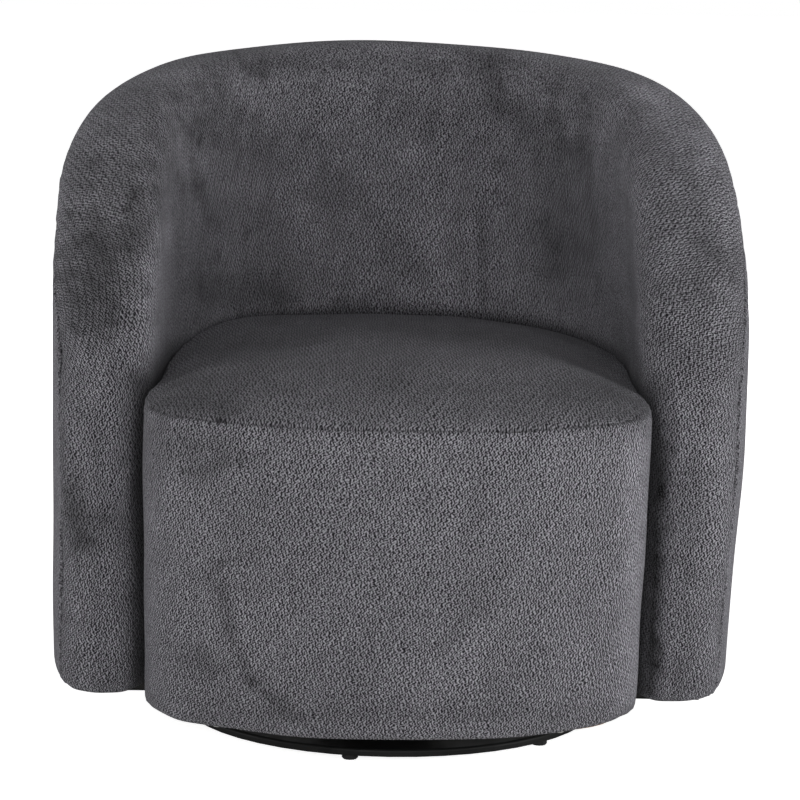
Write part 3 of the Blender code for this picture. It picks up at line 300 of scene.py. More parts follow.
# Seat: brushed pile, with painted shade at its left and right edges beside the arms
SEAT_MARKS = (
    (166, 386, 222, 404, 17, -0.20),
    (560, 396, 626, 386, 13, -0.10),
    (330, 352, 442, 346, 13, 0.18),
    (300, 322, 500, 322, 7, 0.10),
    (420, 380, 560, 372, 9, 0.10),
)

# Camera fitted to the front view
CAMERA_DISTANCE = 3.788
CAMERA_HEIGHT = 0.972
CAMERA_SIDE = 0.0066
CAMERA_PITCH = math.radians(9.4)
CAMERA_YAW = math.radians(0.15)
CAMERA_ROLL = math.radians(1.0)
FOCAL_PIXELS = 3540.0
PICTURE_SIZE = 800.0


# Front view

def camera_axes():
    """Place of the camera and three directions: across its picture, up it and into the view."""
    cos_p, sin_p = math.cos(CAMERA_PITCH), math.sin(CAMERA_PITCH)
    cos_y, sin_y = math.cos(CAMERA_YAW), math.sin(CAMERA_YAW)
    cos_r, sin_r = math.cos(CAMERA_ROLL), math.sin(CAMERA_ROLL)
    right = Vector((cos_y, -sin_y, 0.0))
    forward = Vector((sin_y * cos_p, cos_y * cos_p, -sin_p))
    up = Vector((sin_y * sin_p, cos_y * sin_p, cos_p))
    place = Vector((
        CAMERA_SIDE * cos_y - CAMERA_DISTANCE * sin_y,
        -CAMERA_SIDE * sin_y - CAMERA_DISTANCE * cos_y,
        CAMERA_HEIGHT,
    ))
    return place, right * cos_r + up * sin_r, up * cos_r - right * sin_r, forward


def on_arm_plane(across, down):
    """Where the plane of the arm fronts shows at a place in the picture: x and z in metres."""
    place, right, up, forward = camera_axes()
    middle = PICTURE_SIZE / 2
    ray = forward + (right * (across - middle) + up * (middle - down)) / FOCAL_PIXELS
    hit = place + ray * ((ARM_FRONT_Y - place.y) / ray.y)
    return np.array([hit.x, hit.z])


# Curves of the wall

def plan_curve(half_width, back_reach, power, front_x):
    """Right half of one face of the wall in plan, from the middle of the back to the arm front."""
    turn = np.linspace(0.0, math.pi / 2, 600)
    across = np.sin(turn) / half_width
    along = np.cos(turn) / (back_reach - WALL_WIDEST_Y)
    radius = (across**power + along**power) ** (-1 / power)
    bend = np.stack([radius * np.sin(turn), WALL_WIDEST_Y + radius * np.cos(turn)], -1)
    share = np.linspace(0.0, 1.0, 200)[1:]
    arm_x = half_width + (front_x - half_width) * share**2
    arm_y = WALL_WIDEST_Y + (ARM_FRONT_Y - WALL_WIDEST_Y) * share
    return np.concatenate([bend, np.stack([arm_x, arm_y], -1)])


def eased(value, start, end):
    """Smooth step from 0 at start to 1 at end."""
    share = np.clip((value - start) / (end - start), 0.0, 1.0)
    return share * share * (3 - 2 * share)


def lengths_along(points):
    """Length from the first point to each point of a line."""
    steps = np.linalg.norm(np.diff(points, axis=0), axis=-1)
    return np.concatenate(([0.0], np.cumsum(steps)))


OUTER_CURVE = plan_curve(WALL_HALF_WIDTH, WALL_BACK_REACH, OUTER_POWER, ARM_FRONT_OUTER_X)
SEAT_CURVE = plan_curve(*SEAT_LEVEL_SHAPE, ARM_FRONT_INNER_X)
TOP_CURVE = plan_curve(*TOP_LEVEL_SHAPE, ARM_FRONT_INNER_X)
OUTER_RUNS = lengths_along(OUTER_CURVE)
INNER_RUNS = lengths_along(TOP_CURVE)
WALL_RUN = float(OUTER_RUNS[-1])
FOOT_RUN = WALL_RUN - RIM_DEPTH - CORNER_ROUND
HEM_RUN = WALL_RUN - HEM_FRONT_GAP


def on_curve(curve, run):
    """Points of a plan curve at distances along the outer face."""
    return np.stack([np.interp(run, OUTER_RUNS, curve[:, column]) for column in (0, 1)], -1)


def drawn_in(height, shape):
    """How far a rounded bottom edge draws in at a height above the bottom."""
    tall, deep = shape
    fall = np.clip(1 - height / tall, 0.0, 1.0)
    return deep * (1 - np.sqrt(1 - fall**2))


def wall_place(run, share, z):
    """Places in the wall: run along it, share across it from outside to inside, and height."""
    reach = np.abs(run)
    height = np.maximum(z - FABRIC_BOTTOM_Z, 0.0)
    outer = on_curve(OUTER_CURVE, reach)
    lean = np.clip((z - SEAM_Z) / (WALL_TOP_Z - SEAM_Z), 0.0, 1.0)[..., None]
    inner = on_curve(SEAT_CURVE, reach) * (1 - lean) + on_curve(TOP_CURVE, reach) * lean
    across = inner - outer
    width = np.linalg.norm(across, axis=-1)
    taper = TAPER * np.maximum(1 - height / TAPER_HEIGHT, 0.0) ** 1.5
    start = taper + drawn_in(height, OUTER_ROUND)
    end = width - drawn_in(height, INNER_ROUND)
    place = outer + across / width[..., None] * (start + (end - start) * share)[..., None]
    return np.stack([np.sign(run) * place[..., 0], place[..., 1], z], -1)


MIDDLE_RUNS = np.linspace(0.0, WALL_RUN, 400)
MIDDLE_CURVE = wall_place(MIDDLE_RUNS, 0.5, np.full(400, FABRIC_BOTTOM_Z))[:, :2]


def rim_stations(half_count):
    """Lines round the wall: rim run, rim height, inward direction and where each line meets the bottom."""
    bend_steps = 1200
    turn = np.linspace(0.0, math.pi / 2, bend_steps)
    run = WALL_RUN * np.sin(turn) ** (2 / RIM_POWER)
    rise = np.clip(np.cos(turn), 0.0, 1.0) ** (2 / RIM_POWER)
    z = ARM_CURVE_START_Z + (WALL_TOP_Z - ARM_CURVE_START_Z) * rise
    corner_z = FABRIC_BOTTOM_Z + CORNER_ROUND
    front_z = np.linspace(ARM_CURVE_START_Z, corner_z, 300)[1:]
    bend = np.linspace(0.0, math.pi / 2, 60)[1:]
    foot_run = WALL_RUN - CORNER_ROUND * (1 - np.cos(bend))
    run = np.concatenate([run, np.full(len(front_z), WALL_RUN), foot_run])
    z = np.concatenate([z, front_z, corner_z - CORNER_ROUND * np.sin(bend)])
    lengths = lengths_along(np.stack([run, z], -1))
    total = lengths[-1]
    places = np.linspace(0.0, total, half_count + 1)
    window = RIM_DEPTH / 4
    rim_end = float(lengths[bend_steps - 1])
    ahead = np.clip(places + window, 0.0, rim_end)
    behind = np.clip(places - window, -window, rim_end)
    run_step = np.interp(ahead, lengths, run) - np.sign(behind) * np.interp(np.abs(behind), lengths, run)
    rise_step = np.interp(ahead, lengths, z) - np.interp(np.abs(behind), lengths, z)
    front = places >= rim_end - window / 4
    run_step[front] = 0.0
    rise_step[front] = -1.0
    rise_step[0] = 0.0
    size = np.hypot(run_step, rise_step)
    inward = np.stack([rise_step / size, -run_step / size], -1)
    base = FOOT_RUN * (places / total) ** 0.8
    half = (np.interp(places, lengths, run), np.interp(places, lengths, z), inward, base)
    flip = np.array([-1.0, 1.0])
    return (
        np.concatenate([-half[0][:0:-1], half[0]]),
        np.concatenate([half[1][:0:-1], half[1]]),
        np.concatenate([half[2][:0:-1] * flip, half[2]]),
        np.concatenate([-half[3][:0:-1], half[3]]),
    )


def rim_section():
    """Finely spaced shares across and depths below the rim's top, from the outer side to the inner side."""
    turn = np.linspace(0.0, math.pi, 4001)
    cosine = np.cos(turn)
    share = 0.5 * (1 - np.sign(cosine) * np.abs(cosine) ** (2 / RIM_ROUND_POWER))
    depth = RIM_DEPTH * (1 - np.abs(np.sin(turn)) ** (2 / RIM_ROUND_POWER))
    lengths = lengths_along(np.stack([share * WALL_THICKNESS, depth], -1))
    return share, depth, lengths


def wall_cover(outer, half_count=150):
    """Places and cloth coordinates of one cover of the wall.

    Rows run away from the seam, columns from the foot of the left arm to the foot of the right arm.
    """
    share, depth, lengths = rim_section()
    outer_half = len(lengths) // 2 + 1
    seam_at = float(np.interp(-SEAM_DEPTH, -depth[:outer_half], lengths[:outer_half]))
    if outer:
        away = seam_at - SEAM_ROWS[:7]
    else:
        away = seam_at + np.concatenate([SEAM_ROWS[:6], np.linspace(0.010, lengths[-1] - seam_at, 44)])
    rim_share = np.interp(away, lengths, share)[:, None]
    rim_depth = np.interp(away, lengths, depth)[:, None]
    run, z, inward, base = rim_stations(half_count)
    rim_run = run + inward[:, 0] * rim_depth
    rim_z = np.maximum(z + inward[:, 1] * rim_depth, FABRIC_BOTTOM_Z)
    side_run = run + inward[:, 0] * RIM_DEPTH
    height = np.maximum(z + inward[:, 1] * RIM_DEPTH - FABRIC_BOTTOM_Z, 0.0)
    fall = 1 - np.linspace(1.0, 0.0, 64)[1:, None] ** 1.25
    low_run = side_run + (base - side_run) * fall
    low_z = FABRIC_BOTTOM_Z + height * (1 - fall)
    low_share = np.full_like(low_run, 0.0 if outer else 1.0)
    all_run = np.concatenate([rim_run, low_run])
    all_share = np.concatenate([np.broadcast_to(rim_share, rim_run.shape), low_share])
    all_z = np.concatenate([rim_z, low_z])
    edge = 0.0 if outer else lengths[-1]
    past = np.abs(edge - away)[:, None] * ARM_NARROWING
    side_lengths = OUTER_RUNS if outer else INNER_RUNS
    across = np.interp(np.abs(side_run), OUTER_RUNS, side_lengths)
    low_across = np.interp(np.abs(low_run), OUTER_RUNS, side_lengths)
    cloth_x = np.concatenate([np.sign(run) * across - inward[:, 0] * past, np.sign(run) * low_across])
    cloth_y = np.concatenate([side_run * 0 + FABRIC_BOTTOM_Z + height - inward[:, 1] * past, low_z])
    points = wall_place(all_run, all_share, all_z)
    cloth = np.stack([cloth_x, cloth_y], -1)
    return points, cloth


def surface_normals(points):
    """Unit normals of a grid of points, on the side that the rows and columns turn to."""
    down = np.gradient(points, axis=0)
    along = np.gradient(points, axis=1)
    normals = np.cross(along, down)
    return normals / np.maximum(np.linalg.norm(normals, axis=-1, keepdims=True), 1e-12)


def undulation(cloth, seed, shortest, longest, count=22):
    """Smooth rise and fall over the cloth, about one unit high."""
    pick = np.random.default_rng(seed)
    total = np.zeros(cloth.shape[:-1])
    for _ in range(count):
        angle = pick.uniform(0.0, 2 * math.pi)
        length = math.exp(pick.uniform(math.log(shortest), math.log(longest)))
        wave = cloth @ np.array([math.cos(angle), math.sin(angle)])
        total += np.sin(2 * math.pi * wave / length + pick.uniform(0.0, 2 * math.pi))
    return total / math.sqrt(count / 2)


def seam_fall(distance, puckers):
    """How deep the cloth sinks into a seam at a distance from it, with small puckers along the seam."""
    sink = -SEAM_SINK * np.exp(-((distance / SEAM_WIDTH) ** 1.3))
    near = np.exp(-distance / PUCKER_REACH) * np.clip(distance / PUCKER_START, 0.0, 1.0)
    return sink - PUCKER_HEIGHT * puckers * near


def seam_distance(points):
    """Distance of each point of a wall cover from its first row, which lies in the seam."""
    steps = np.linalg.norm(np.diff(points, axis=0, prepend=points[:1]), axis=-1)
    return np.cumsum(steps, axis=0)


def with_relief(points, cloth, distance, seeds, rise, lengths):
    """Points of a cover with soft waves in the cloth, and its seam sunk in and puckered."""
    puckers = undulation(cloth, seeds[0], *PUCKER_LENGTHS)
    relief = rise * undulation(cloth, seeds[1], *lengths) + seam_fall(distance, puckers)
    return points + surface_normals(points) * relief[..., None]


def cloth_piece(name, points, cloth, pile_and_painted_light, clarity, material, wrapped=False):
    """Smooth woven cover from a grid of places, with the weave laid out on its own cloth coordinates.

    The pile value shades the cloth lighter or darker, with the pile's own tone and painted light and shade,
    and clarity says how clearly the weave shows.
    """
    rows, columns = points.shape[:2]
    bm = bmesh.new()
    bmesh.ops.create_grid(bm, x_segments=columns - 1, y_segments=rows - 1, size=0.5)
    layer = bm.loops.layers.uv.new("cloth")
    pile_and_painted_light_layer = bm.verts.layers.float.new("pile_and_painted_light")
    clarity_layer = bm.verts.layers.float.new("clarity")
    bm.verts.ensure_lookup_table()
    cells = {}
    for vert in bm.verts:
        column = round((vert.co.x + 0.5) * (columns - 1))
        row = round((vert.co.y + 0.5) * (rows - 1))
        cells[vert.index] = (row, column)
        vert.co = points[row, column]
        vert[pile_and_painted_light_layer] = float(pile_and_painted_light[row, column])
        vert[clarity_layer] = float(clarity[row, column])
    for face in bm.faces:
        for loop in face.loops:
            loop[layer].uv = cloth[cells[loop.vert.index]]
        face.smooth = True
    if wrapped:
        bmesh.ops.remove_doubles(bm, verts=bm.verts, dist=0.00002)
    mesh = bpy.data.meshes.new(name)
    bm.to_mesh(mesh)
    bm.free()
    obj = bpy.data.objects.new(name, mesh)
    bpy.context.scene.collection.objects.link(obj)
    mesh.materials.append(material)
    return obj


def turn_under(obj):
    """Turns the bottom edge of a wall cover in under the wall."""
    bm = bmesh.new()
    bm.from_mesh(obj.data)
    layer = bm.loops.layers.uv["cloth"]
    places = {}
    for face in bm.faces:
        for loop in face.loops:
            places[loop.vert] = Vector(loop[layer].uv)
    lowest = FABRIC_BOTTOM_Z + HEM_EDGE_HEIGHT
    open_edges = [edge for edge in bm.edges if edge.is_boundary]
    edges = [edge for edge in open_edges if max(vert.co.z for vert in edge.verts) < lowest]
    reached = 0.0
    for reach in HEM_ROWS:
        made = bmesh.ops.extrude_edge_only(bm, edges=edges)["geom"]
        edges = [item for item in made if isinstance(item, bmesh.types.BMEdge) and item.is_boundary]
        faces = [item for item in made if isinstance(item, bmesh.types.BMFace)]
        added = {item for item in made if isinstance(item, bmesh.types.BMVert)}
        for vert in added:
            others = (edge.other_vert(vert) for edge in vert.link_edges)
            before = next(other for other in others if other not in added)
            places[vert] = places[before] - Vector((0.0, reach - reached))
        for vert in added:
            flat = np.array([abs(vert.co.x), vert.co.y])
            nearest = int(np.argmin(np.linalg.norm(MIDDLE_CURVE - flat, axis=-1)))
            run = min(float(MIDDLE_RUNS[nearest]), HEM_RUN)
            middle = Vector(wall_place(np.array([run]), 0.5, np.array([FABRIC_BOTTOM_Z]))[0])
            middle.x = math.copysign(middle.x, vert.co.x)
            toward = (middle - vert.co).to_2d()
            if toward.length > 0:
                vert.co.xy += toward.normalized() * min(reach - reached, toward.length)
            vert.co.z = FABRIC_BOTTOM_Z
        for face in faces:
            face.smooth = True
            for loop in face.loops:
                loop[layer].uv = places[loop.vert]
        reached = reach
    bm.to_mesh(obj.data)
    bm.free()
    return obj


def thicken(obj, thickness=CLOTH_THICKNESS):
    """Gives a cover its cloth thickness, on its inside."""
    solid = obj.modifiers.new("cloth_thickness", "SOLIDIFY")
    solid.thickness = thickness
    solid.offset = -1.0
    solid.use_rim = True
    return obj


# Curves of the seat drum

def drum_outline(side_steps=90):
    """Drum in plan, once round from the middle of the front over the right side."""
    corner_x = DRUM_HALF_WIDTH - DRUM_CORNER_RADIUS
    centre_y = DRUM_FRONT_Y + DRUM_BOW_RADIUS
    reach = DRUM_BOW_RADIUS - DRUM_CORNER_RADIUS
    corner_y = centre_y - math.sqrt(reach**2 - corner_x**2)
    bow_end = math.asin(corner_x / reach)
    bow = np.linspace(0.0, bow_end, 40)[:-1]
    corner = np.linspace(bow_end, math.pi / 2, 30)
    run = np.linspace(WALL_RUN, 0.0, side_steps)
    side = wall_place(run, np.ones_like(run), np.full_like(run, SEAM_Z))[:, :2]
    centre = np.array([0.0, DRUM_CENTRE_Y])
    outward = (side - centre) / np.linalg.norm(side - centre, axis=-1, keepdims=True)
    corner_turn = np.stack([np.sin(corner), -np.cos(corner)], -1)
    half = np.concatenate([
        np.stack([DRUM_BOW_RADIUS * np.sin(bow), centre_y - DRUM_BOW_RADIUS * np.cos(bow)], -1),
        np.array([corner_x, corner_y]) + DRUM_CORNER_RADIUS * corner_turn,
        side - outward * DRUM_WALL_GAP,
    ])
    lengths = lengths_along(half)
    even = np.linspace(0.0, lengths[-1], 130)
    half = np.stack([np.interp(even, lengths, half[:, column]) for column in (0, 1)], -1)
    return np.concatenate([half, half[-2::-1] * np.array([-1.0, 1.0])])


def seat_edge_z(y):
    """Height of the seat's edge, rising from the seam towards the back."""
    share = np.clip((y - DRUM_FRONT_Y) / (SEAT_LEVEL_SHAPE[1] - DRUM_FRONT_Y), 0.0, 1.0)
    return SEAM_Z + SEAT_BACK_RISE * share**2 * (3 - 2 * share)


def seat_grid():
    """Places, cloth coordinates and distances to the seam of the seat's crowned top."""
    outline = drum_outline()
    centre = np.array([0.0, DRUM_CENTRE_Y])
    reach = np.linalg.norm(outline - centre, axis=-1)
    share = np.concatenate([1 - SEAM_ROWS / reach.mean(), np.linspace(0.90, 0.0, 34)])[:, None]
    flat = centre + (outline - centre) * share[..., None]
    edge = seat_edge_z(outline[:, 1])
    z = edge + (SEAT_CROWN_Z - edge) * (1 - share**SEAT_CROWN_POWER)
    points = np.concatenate([flat, z[..., None]], -1)
    distance = (1 - share) * reach
    return points, flat * np.array([1.0, SEAT_WEAVE_PRESS]), distance


def band_grid():
    """Places, cloth coordinates and distances to the seam of the drum's front band."""
    outline = drum_outline()
    lengths = lengths_along(outline)
    half = int(np.argmax(outline[:, 1] > DRUM_BAND_END_Y))
    plan = np.concatenate([outline[:half][:0:-1] * np.array([-1.0, 1.0]), outline[:half]])
    across = np.concatenate([-lengths[:half][:0:-1], lengths[:half]])
    normals = np.stack([np.gradient(plan[:, 1]), -np.gradient(plan[:, 0])], -1)
    normals /= np.linalg.norm(normals, axis=-1, keepdims=True)
    tall = SEAM_Z - FABRIC_BOTTOM_Z
    fall = np.concatenate([SEAM_ROWS, np.linspace(0.024, tall, 60)])[:, None]
    top = seat_edge_z(plan[:, 1])
    z = top - (top - FABRIC_BOTTOM_Z) * fall / tall
    share = (z - FABRIC_BOTTOM_Z) / (top - FABRIC_BOTTOM_Z)
    taper = DRUM_FOOT_TAPER * (1 - share) * eased(np.abs(plan[:, 0]), *DRUM_TAPER_X)
    bulge = DRUM_BULGE * 4 * share * (1 - share)
    out = bulge - taper - drawn_in(z - FABRIC_BOTTOM_Z, DRUM_ROUND)
    flat = plan + normals * out[..., None]
    points = np.concatenate([flat, z[..., None]], -1)
    cloth = np.stack([np.broadcast_to(across, z.shape), z], -1)
    turned = np.array([0.003, 0.007, 0.012, HEM_WIDTH])[:, None]
    hem_plan = flat[-1] - normals * turned[..., None]
    hem_shape = hem_plan.shape[:2]
    hem = np.concatenate([hem_plan, np.full((*hem_shape, 1), FABRIC_BOTTOM_Z)], -1)
    hem_y = np.broadcast_to(FABRIC_BOTTOM_Z - turned, hem_shape)
    hem_cloth = np.stack([np.broadcast_to(across, hem_shape), hem_y], -1)
    distance = np.concatenate([np.broadcast_to(fall, z.shape), np.broadcast_to(tall + turned, hem_shape)])
    return np.concatenate([points, hem]), np.concatenate([cloth, hem_cloth]), distance


# Shared surface effects

def new_group(name, inputs, outputs):
    """Empty shader group with named inputs and outputs."""
    group = bpy.data.node_groups.new(name, "ShaderNodeTree")
    for label, kind, value in inputs:
        socket = group.interface.new_socket(name=label, in_out="INPUT", socket_type=kind)
        if value is not None:
            socket.default_value = value
    for label, kind in outputs:
        group.interface.new_socket(name=label, in_out="OUTPUT", socket_type=kind)
    return group, group.nodes.new("NodeGroupInput"), group.nodes.new("NodeGroupOutput")


def feed(tree, socket, value):
    """Links a node's output to a socket, or writes a plain value on it."""
    if isinstance(value, bpy.types.NodeSocket):
        tree.links.new(value, socket)
    else:
        socket.default_value = value


def maths(tree, operation, *values, clamp=False):
    """Maths node on values or sockets."""
    node = tree.nodes.new("ShaderNodeMath")
    node.operation = operation
    node.use_clamp = clamp
    for socket, value in zip(node.inputs, values):
        feed(tree, socket, value)
    return node.outputs[0]


def vectors(tree, operation, *values, scale=None):
    """Vector maths node on values or sockets."""
    node = tree.nodes.new("ShaderNodeVectorMath")
    node.operation = operation
    for socket, value in zip(node.inputs, values):
        feed(tree, socket, value)
    if scale is not None:
        feed(tree, node.inputs["Scale"], scale)
    return node.outputs["Value" if operation in ("DOT_PRODUCT", "LENGTH") else "Vector"]


def noise(tree, vector, scale, detail=2.0, roughness=0.5, output="Fac"):
    """Noise texture at a scale per metre."""
    node = tree.nodes.new("ShaderNodeTexNoise")
    feed(tree, node.inputs["Vector"], vector)
    node.inputs["Scale"].default_value = scale
    node.inputs["Detail"].default_value = detail
    node.inputs["Roughness"].default_value = roughness
    return node.outputs[output]


def blend_colour(tree, factor, first, second, kind="MIX"):
    """Colour mixed from two colours by a factor."""
    node = tree.nodes.new("ShaderNodeMix")
    node.data_type = "RGBA"
    node.blend_type = kind
    feed(tree, node.inputs[0], factor)
    feed(tree, node.inputs[6], first)
    feed(tree, node.inputs[7], second)
    return node.outputs[2]


def remap(tree, value, low, high, to_low, to_high):
    """Value carried from one range to another, with its ends held."""
    node = tree.nodes.new("ShaderNodeMapRange")
    feed(tree, node.inputs[0], value)
    for socket, number in zip(node.inputs[1:5], (low, high, to_low, to_high)):
        socket.default_value = number
    return node.outputs[0]


# Waves of the chenille weave: turns per metre across and up the cloth, strength and phase
WEAVE_WAVES = (
    (232.0, 78.0, 0.90, 0.0),
    (240.0, -141.0, 0.74, 1.3),
    (120.0, -70.0, 0.34, 0.4),
    (112.0, 219.0, 0.50, 2.1),
    (352.0, 6.0, 1.00, 0.9),
    (242.0, -357.0, 1.10, 2.6),
    (361.0, 212.0, 0.95, 4.0),
)
WEAVE_RANGE = 2.5
FINE_WANDER = 0.0034
BROAD_WANDER = 0.0085
CLUMP_STRENGTH = 0.55
GRAIN_STRENGTH = 2.1
GRAIN_RELIEF = 0.9
COLOUR_POWER = 1.28


def chenille_group():
    """Woven chenille: height of the threads, fine grain and heathered clumps from cloth coordinates."""
    tree, entry, leave = new_group(
        "chenille_weave",
        (("Cloth", "NodeSocketVector", None),),
        (("Thread", "NodeSocketFloat"), ("Grain", "NodeSocketFloat"), ("Heather", "NodeSocketFloat")),
    )
    cloth = entry.outputs["Cloth"]
    fine = vectors(tree, "SUBTRACT", noise(tree, cloth, 210.0, 1.0, output="Color"), (0.5, 0.5, 0.5))
    broad = vectors(tree, "SUBTRACT", noise(tree, cloth, 26.0, 2.0, output="Color"), (0.5, 0.5, 0.5))
    fine = vectors(tree, "SCALE", fine, scale=FINE_WANDER)
    broad = vectors(tree, "SCALE", broad, scale=BROAD_WANDER)
    place = vectors(tree, "ADD", cloth, vectors(tree, "ADD", fine, broad))
    total = None
    for across, up, strength, phase in WEAVE_WAVES:
        turns = vectors(tree, "DOT_PRODUCT", place, (across, up, 0.0))
        wave = maths(tree, "COSINE", maths(tree, "MULTIPLY_ADD", turns, 2 * math.pi, phase))
        total = maths(tree, "MULTIPLY", wave, strength) if total is None else maths(
            tree, "MULTIPLY_ADD", wave, strength, total
        )
    thread = remap(tree, total, -WEAVE_RANGE, WEAVE_RANGE, 0.0, 1.0)
    tree.links.new(thread, leave.inputs["Thread"])
    tree.links.new(noise(tree, cloth, 460.0, 2.0, 0.7), leave.inputs["Grain"])
    tree.links.new(noise(tree, cloth, 165.0, 2.0, 0.7), leave.inputs["Heather"])
    return tree


def use_group(tree, group, **values):
    """Places a shared group in a material and feeds its inputs."""
    node = tree.nodes.new("ShaderNodeGroup")
    node.node_tree = group
    for label, value in values.items():
        feed(tree, node.inputs[label.replace("_", " ")], value)
    return node


def new_material(name, roughness=0.5, metallic=0.0, **sockets):
    """Material with its shader's plain values set; returns it with its tree and shader."""
    material = bpy.data.materials.new(name)
    material.use_nodes = True
    tree = material.node_tree
    shader = tree.nodes["Principled BSDF"]
    shader.inputs["Roughness"].default_value = roughness
    shader.inputs["Metallic"].default_value = metallic
    for label, value in sockets.items():
        shader.inputs[label.replace("_", " ")].default_value = value
    return material, tree, shader


def add_bump(tree, shader, height, distance, strength=1.0):
    """Small relief on a shader."""
    node = tree.nodes.new("ShaderNodeBump")
    node.inputs["Strength"].default_value = strength
    node.inputs["Distance"].default_value = distance
    tree.links.new(height, node.inputs["Height"])
    tree.links.new(node.outputs["Normal"], shader.inputs["Normal"])


def chenille_material(name, group, dark, light):
    """Dark grey chenille with a diagonal weave, heathered threads, brushed pile and painted light and shade.
    """
    material, tree, shader = new_material(
        name,
        roughness=0.92,
        Specular_IOR_Level=0.18,
        Sheen_Weight=0.14,
        Sheen_Roughness=0.38,
        Sheen_Tint=(0.86, 0.86, 0.92, 1.0),
    )
    cloth = tree.nodes.new("ShaderNodeUVMap")
    cloth.uv_map = "cloth"
    # Per-vertex tone of the pile together with painted light and shade
    pile_and_painted_light = tree.nodes.new("ShaderNodeAttribute")
    pile_and_painted_light.attribute_name = "pile_and_painted_light"
    clarity = tree.nodes.new("ShaderNodeAttribute")
    clarity.attribute_name = "clarity"
    weave = use_group(tree, group, Cloth=cloth.outputs["UV"])
    thread = maths(tree, "SUBTRACT", weave.outputs["Thread"], 0.5)
    shown = maths(tree, "MULTIPLY_ADD", thread, clarity.outputs["Fac"], 0.5)
    grain = maths(tree, "SUBTRACT", weave.outputs["Grain"], 0.5)
    clump = maths(tree, "SUBTRACT", weave.outputs["Heather"], 0.5)
    clumped = maths(tree, "MULTIPLY_ADD", clump, CLUMP_STRENGTH, shown)
    grained = maths(tree, "MULTIPLY_ADD", grain, GRAIN_STRENGTH, clumped, clamp=True)
    colour = blend_colour(tree, maths(tree, "POWER", grained, COLOUR_POWER), dark, light)
    heather = remap(tree, weave.outputs["Heather"], 0.3, 0.7, 0.0, 1.0)
    tint = blend_colour(tree, heather, (1.03, 0.985, 1.03, 1.0), (0.97, 1.01, 0.985, 1.0))
    tinted = blend_colour(tree, 1.0, colour, tint, "MULTIPLY")
    # The pile's tone and painted light and shade, in one value, darken or lighten the colour
    level = maths(tree, "ADD", pile_and_painted_light.outputs["Fac"], 1.0)
    grey = tree.nodes.new("ShaderNodeCombineColor")
    for socket in grey.inputs[:3]:
        tree.links.new(level, socket)
    shaded = blend_colour(tree, 1.0, tinted, grey.outputs[0], "MULTIPLY")
    tree.links.new(shaded, shader.inputs["Base Color"])
    height = maths(tree, "MULTIPLY_ADD", grain, GRAIN_RELIEF, shown)
    add_bump(tree, shader, height, 0.0012, 0.9)
    return material


def wood_group():
    """Straight wood grain: long streaks and fine pores, in the piece's own coordinates."""
    tree, entry, leave = new_group(
        "wood_grain",
        (("Place", "NodeSocketVector", None), ("Stretch", "NodeSocketVector", (1.0, 1.0, 1.0))),
        (("Streak", "NodeSocketFloat"), ("Pore", "NodeSocketFloat")),
    )
    place = vectors(tree, "MULTIPLY", entry.outputs["Place"], entry.outputs["Stretch"])
    tree.links.new(noise(tree, place, 60.0, 5.0, 0.62), leave.inputs["Streak"])
    tree.links.new(noise(tree, place, 420.0, 3.0, 0.7), leave.inputs["Pore"])
    return tree


def speck_group():
    """Fine speckle and broad stains for sheet, foam, coat and moulded plastic."""
    tree, entry, leave = new_group(
        "speckle",
        (("Place", "NodeSocketVector", None), ("Size", "NodeSocketFloat", 1.0)),
        (("Speck", "NodeSocketFloat"), ("Stain", "NodeSocketFloat")),
    )
    place = vectors(tree, "SCALE", entry.outputs["Place"], scale=entry.outputs["Size"])
    tree.links.new(noise(tree, place, 900.0, 3.0, 0.7), leave.inputs["Speck"])
    tree.links.new(noise(tree, place, 22.0, 3.0, 0.6), leave.inputs["Stain"])
    return tree


def object_place(tree):
    """Object coordinates."""
    return tree.nodes.new("ShaderNodeTexCoord").outputs["Object"]


def wood_material(name, group, dark, light, stretch, roughness=0.62):
    """Bare wood with grain along one direction."""
    material, tree, shader = new_material(name, roughness=roughness)
    grain = use_group(tree, group, Place=object_place(tree), Stretch=stretch)
    streak = remap(tree, grain.outputs["Streak"], 0.3, 0.7, 0.0, 1.0)
    colour = blend_colour(tree, streak, dark, light)
    pores = remap(tree, grain.outputs["Pore"], 0.35, 0.6, 0.78, 1.0)
    shade = tree.nodes.new("ShaderNodeCombineColor")
    for socket in shade.inputs[:3]:
        tree.links.new(pores, socket)
    shaded = blend_colour(tree, 1.0, colour, shade.outputs[0], "MULTIPLY")
    tree.links.new(shaded, shader.inputs["Base Color"])
    rough = remap(tree, streak, 0.0, 1.0, roughness + 0.08, roughness - 0.05)
    tree.links.new(rough, shader.inputs["Roughness"])
    add_bump(tree, shader, grain.outputs["Pore"], 0.0004, 0.6)
    return material


def speckled_material(name, group, dark, light, size, relief, roughness, metallic=0.0, **sockets):
    """Finish with a fine speckle, soft stains and roughness between two values."""
    material, tree, shader = new_material(name, metallic=metallic, **sockets)
    specks = use_group(tree, group, Place=object_place(tree), Size=size)
    stains = maths(tree, "MULTIPLY", specks.outputs["Stain"], 0.45)
    mixed = maths(tree, "MULTIPLY_ADD", specks.outputs["Speck"], 0.55, stains)
    shown = remap(tree, mixed, 0.35, 0.65, 0.0, 1.0)
    tree.links.new(blend_colour(tree, shown, dark, light), shader.inputs["Base Color"])
    rough = remap(tree, specks.outputs["Stain"], 0.3, 0.7, *roughness)
    tree.links.new(rough, shader.inputs["Roughness"])
    add_bump(tree, shader, specks.outputs["Speck"], relief, 0.5)
    return material


wood = wood_group()
speck = speck_group()
chenille = chenille_group()

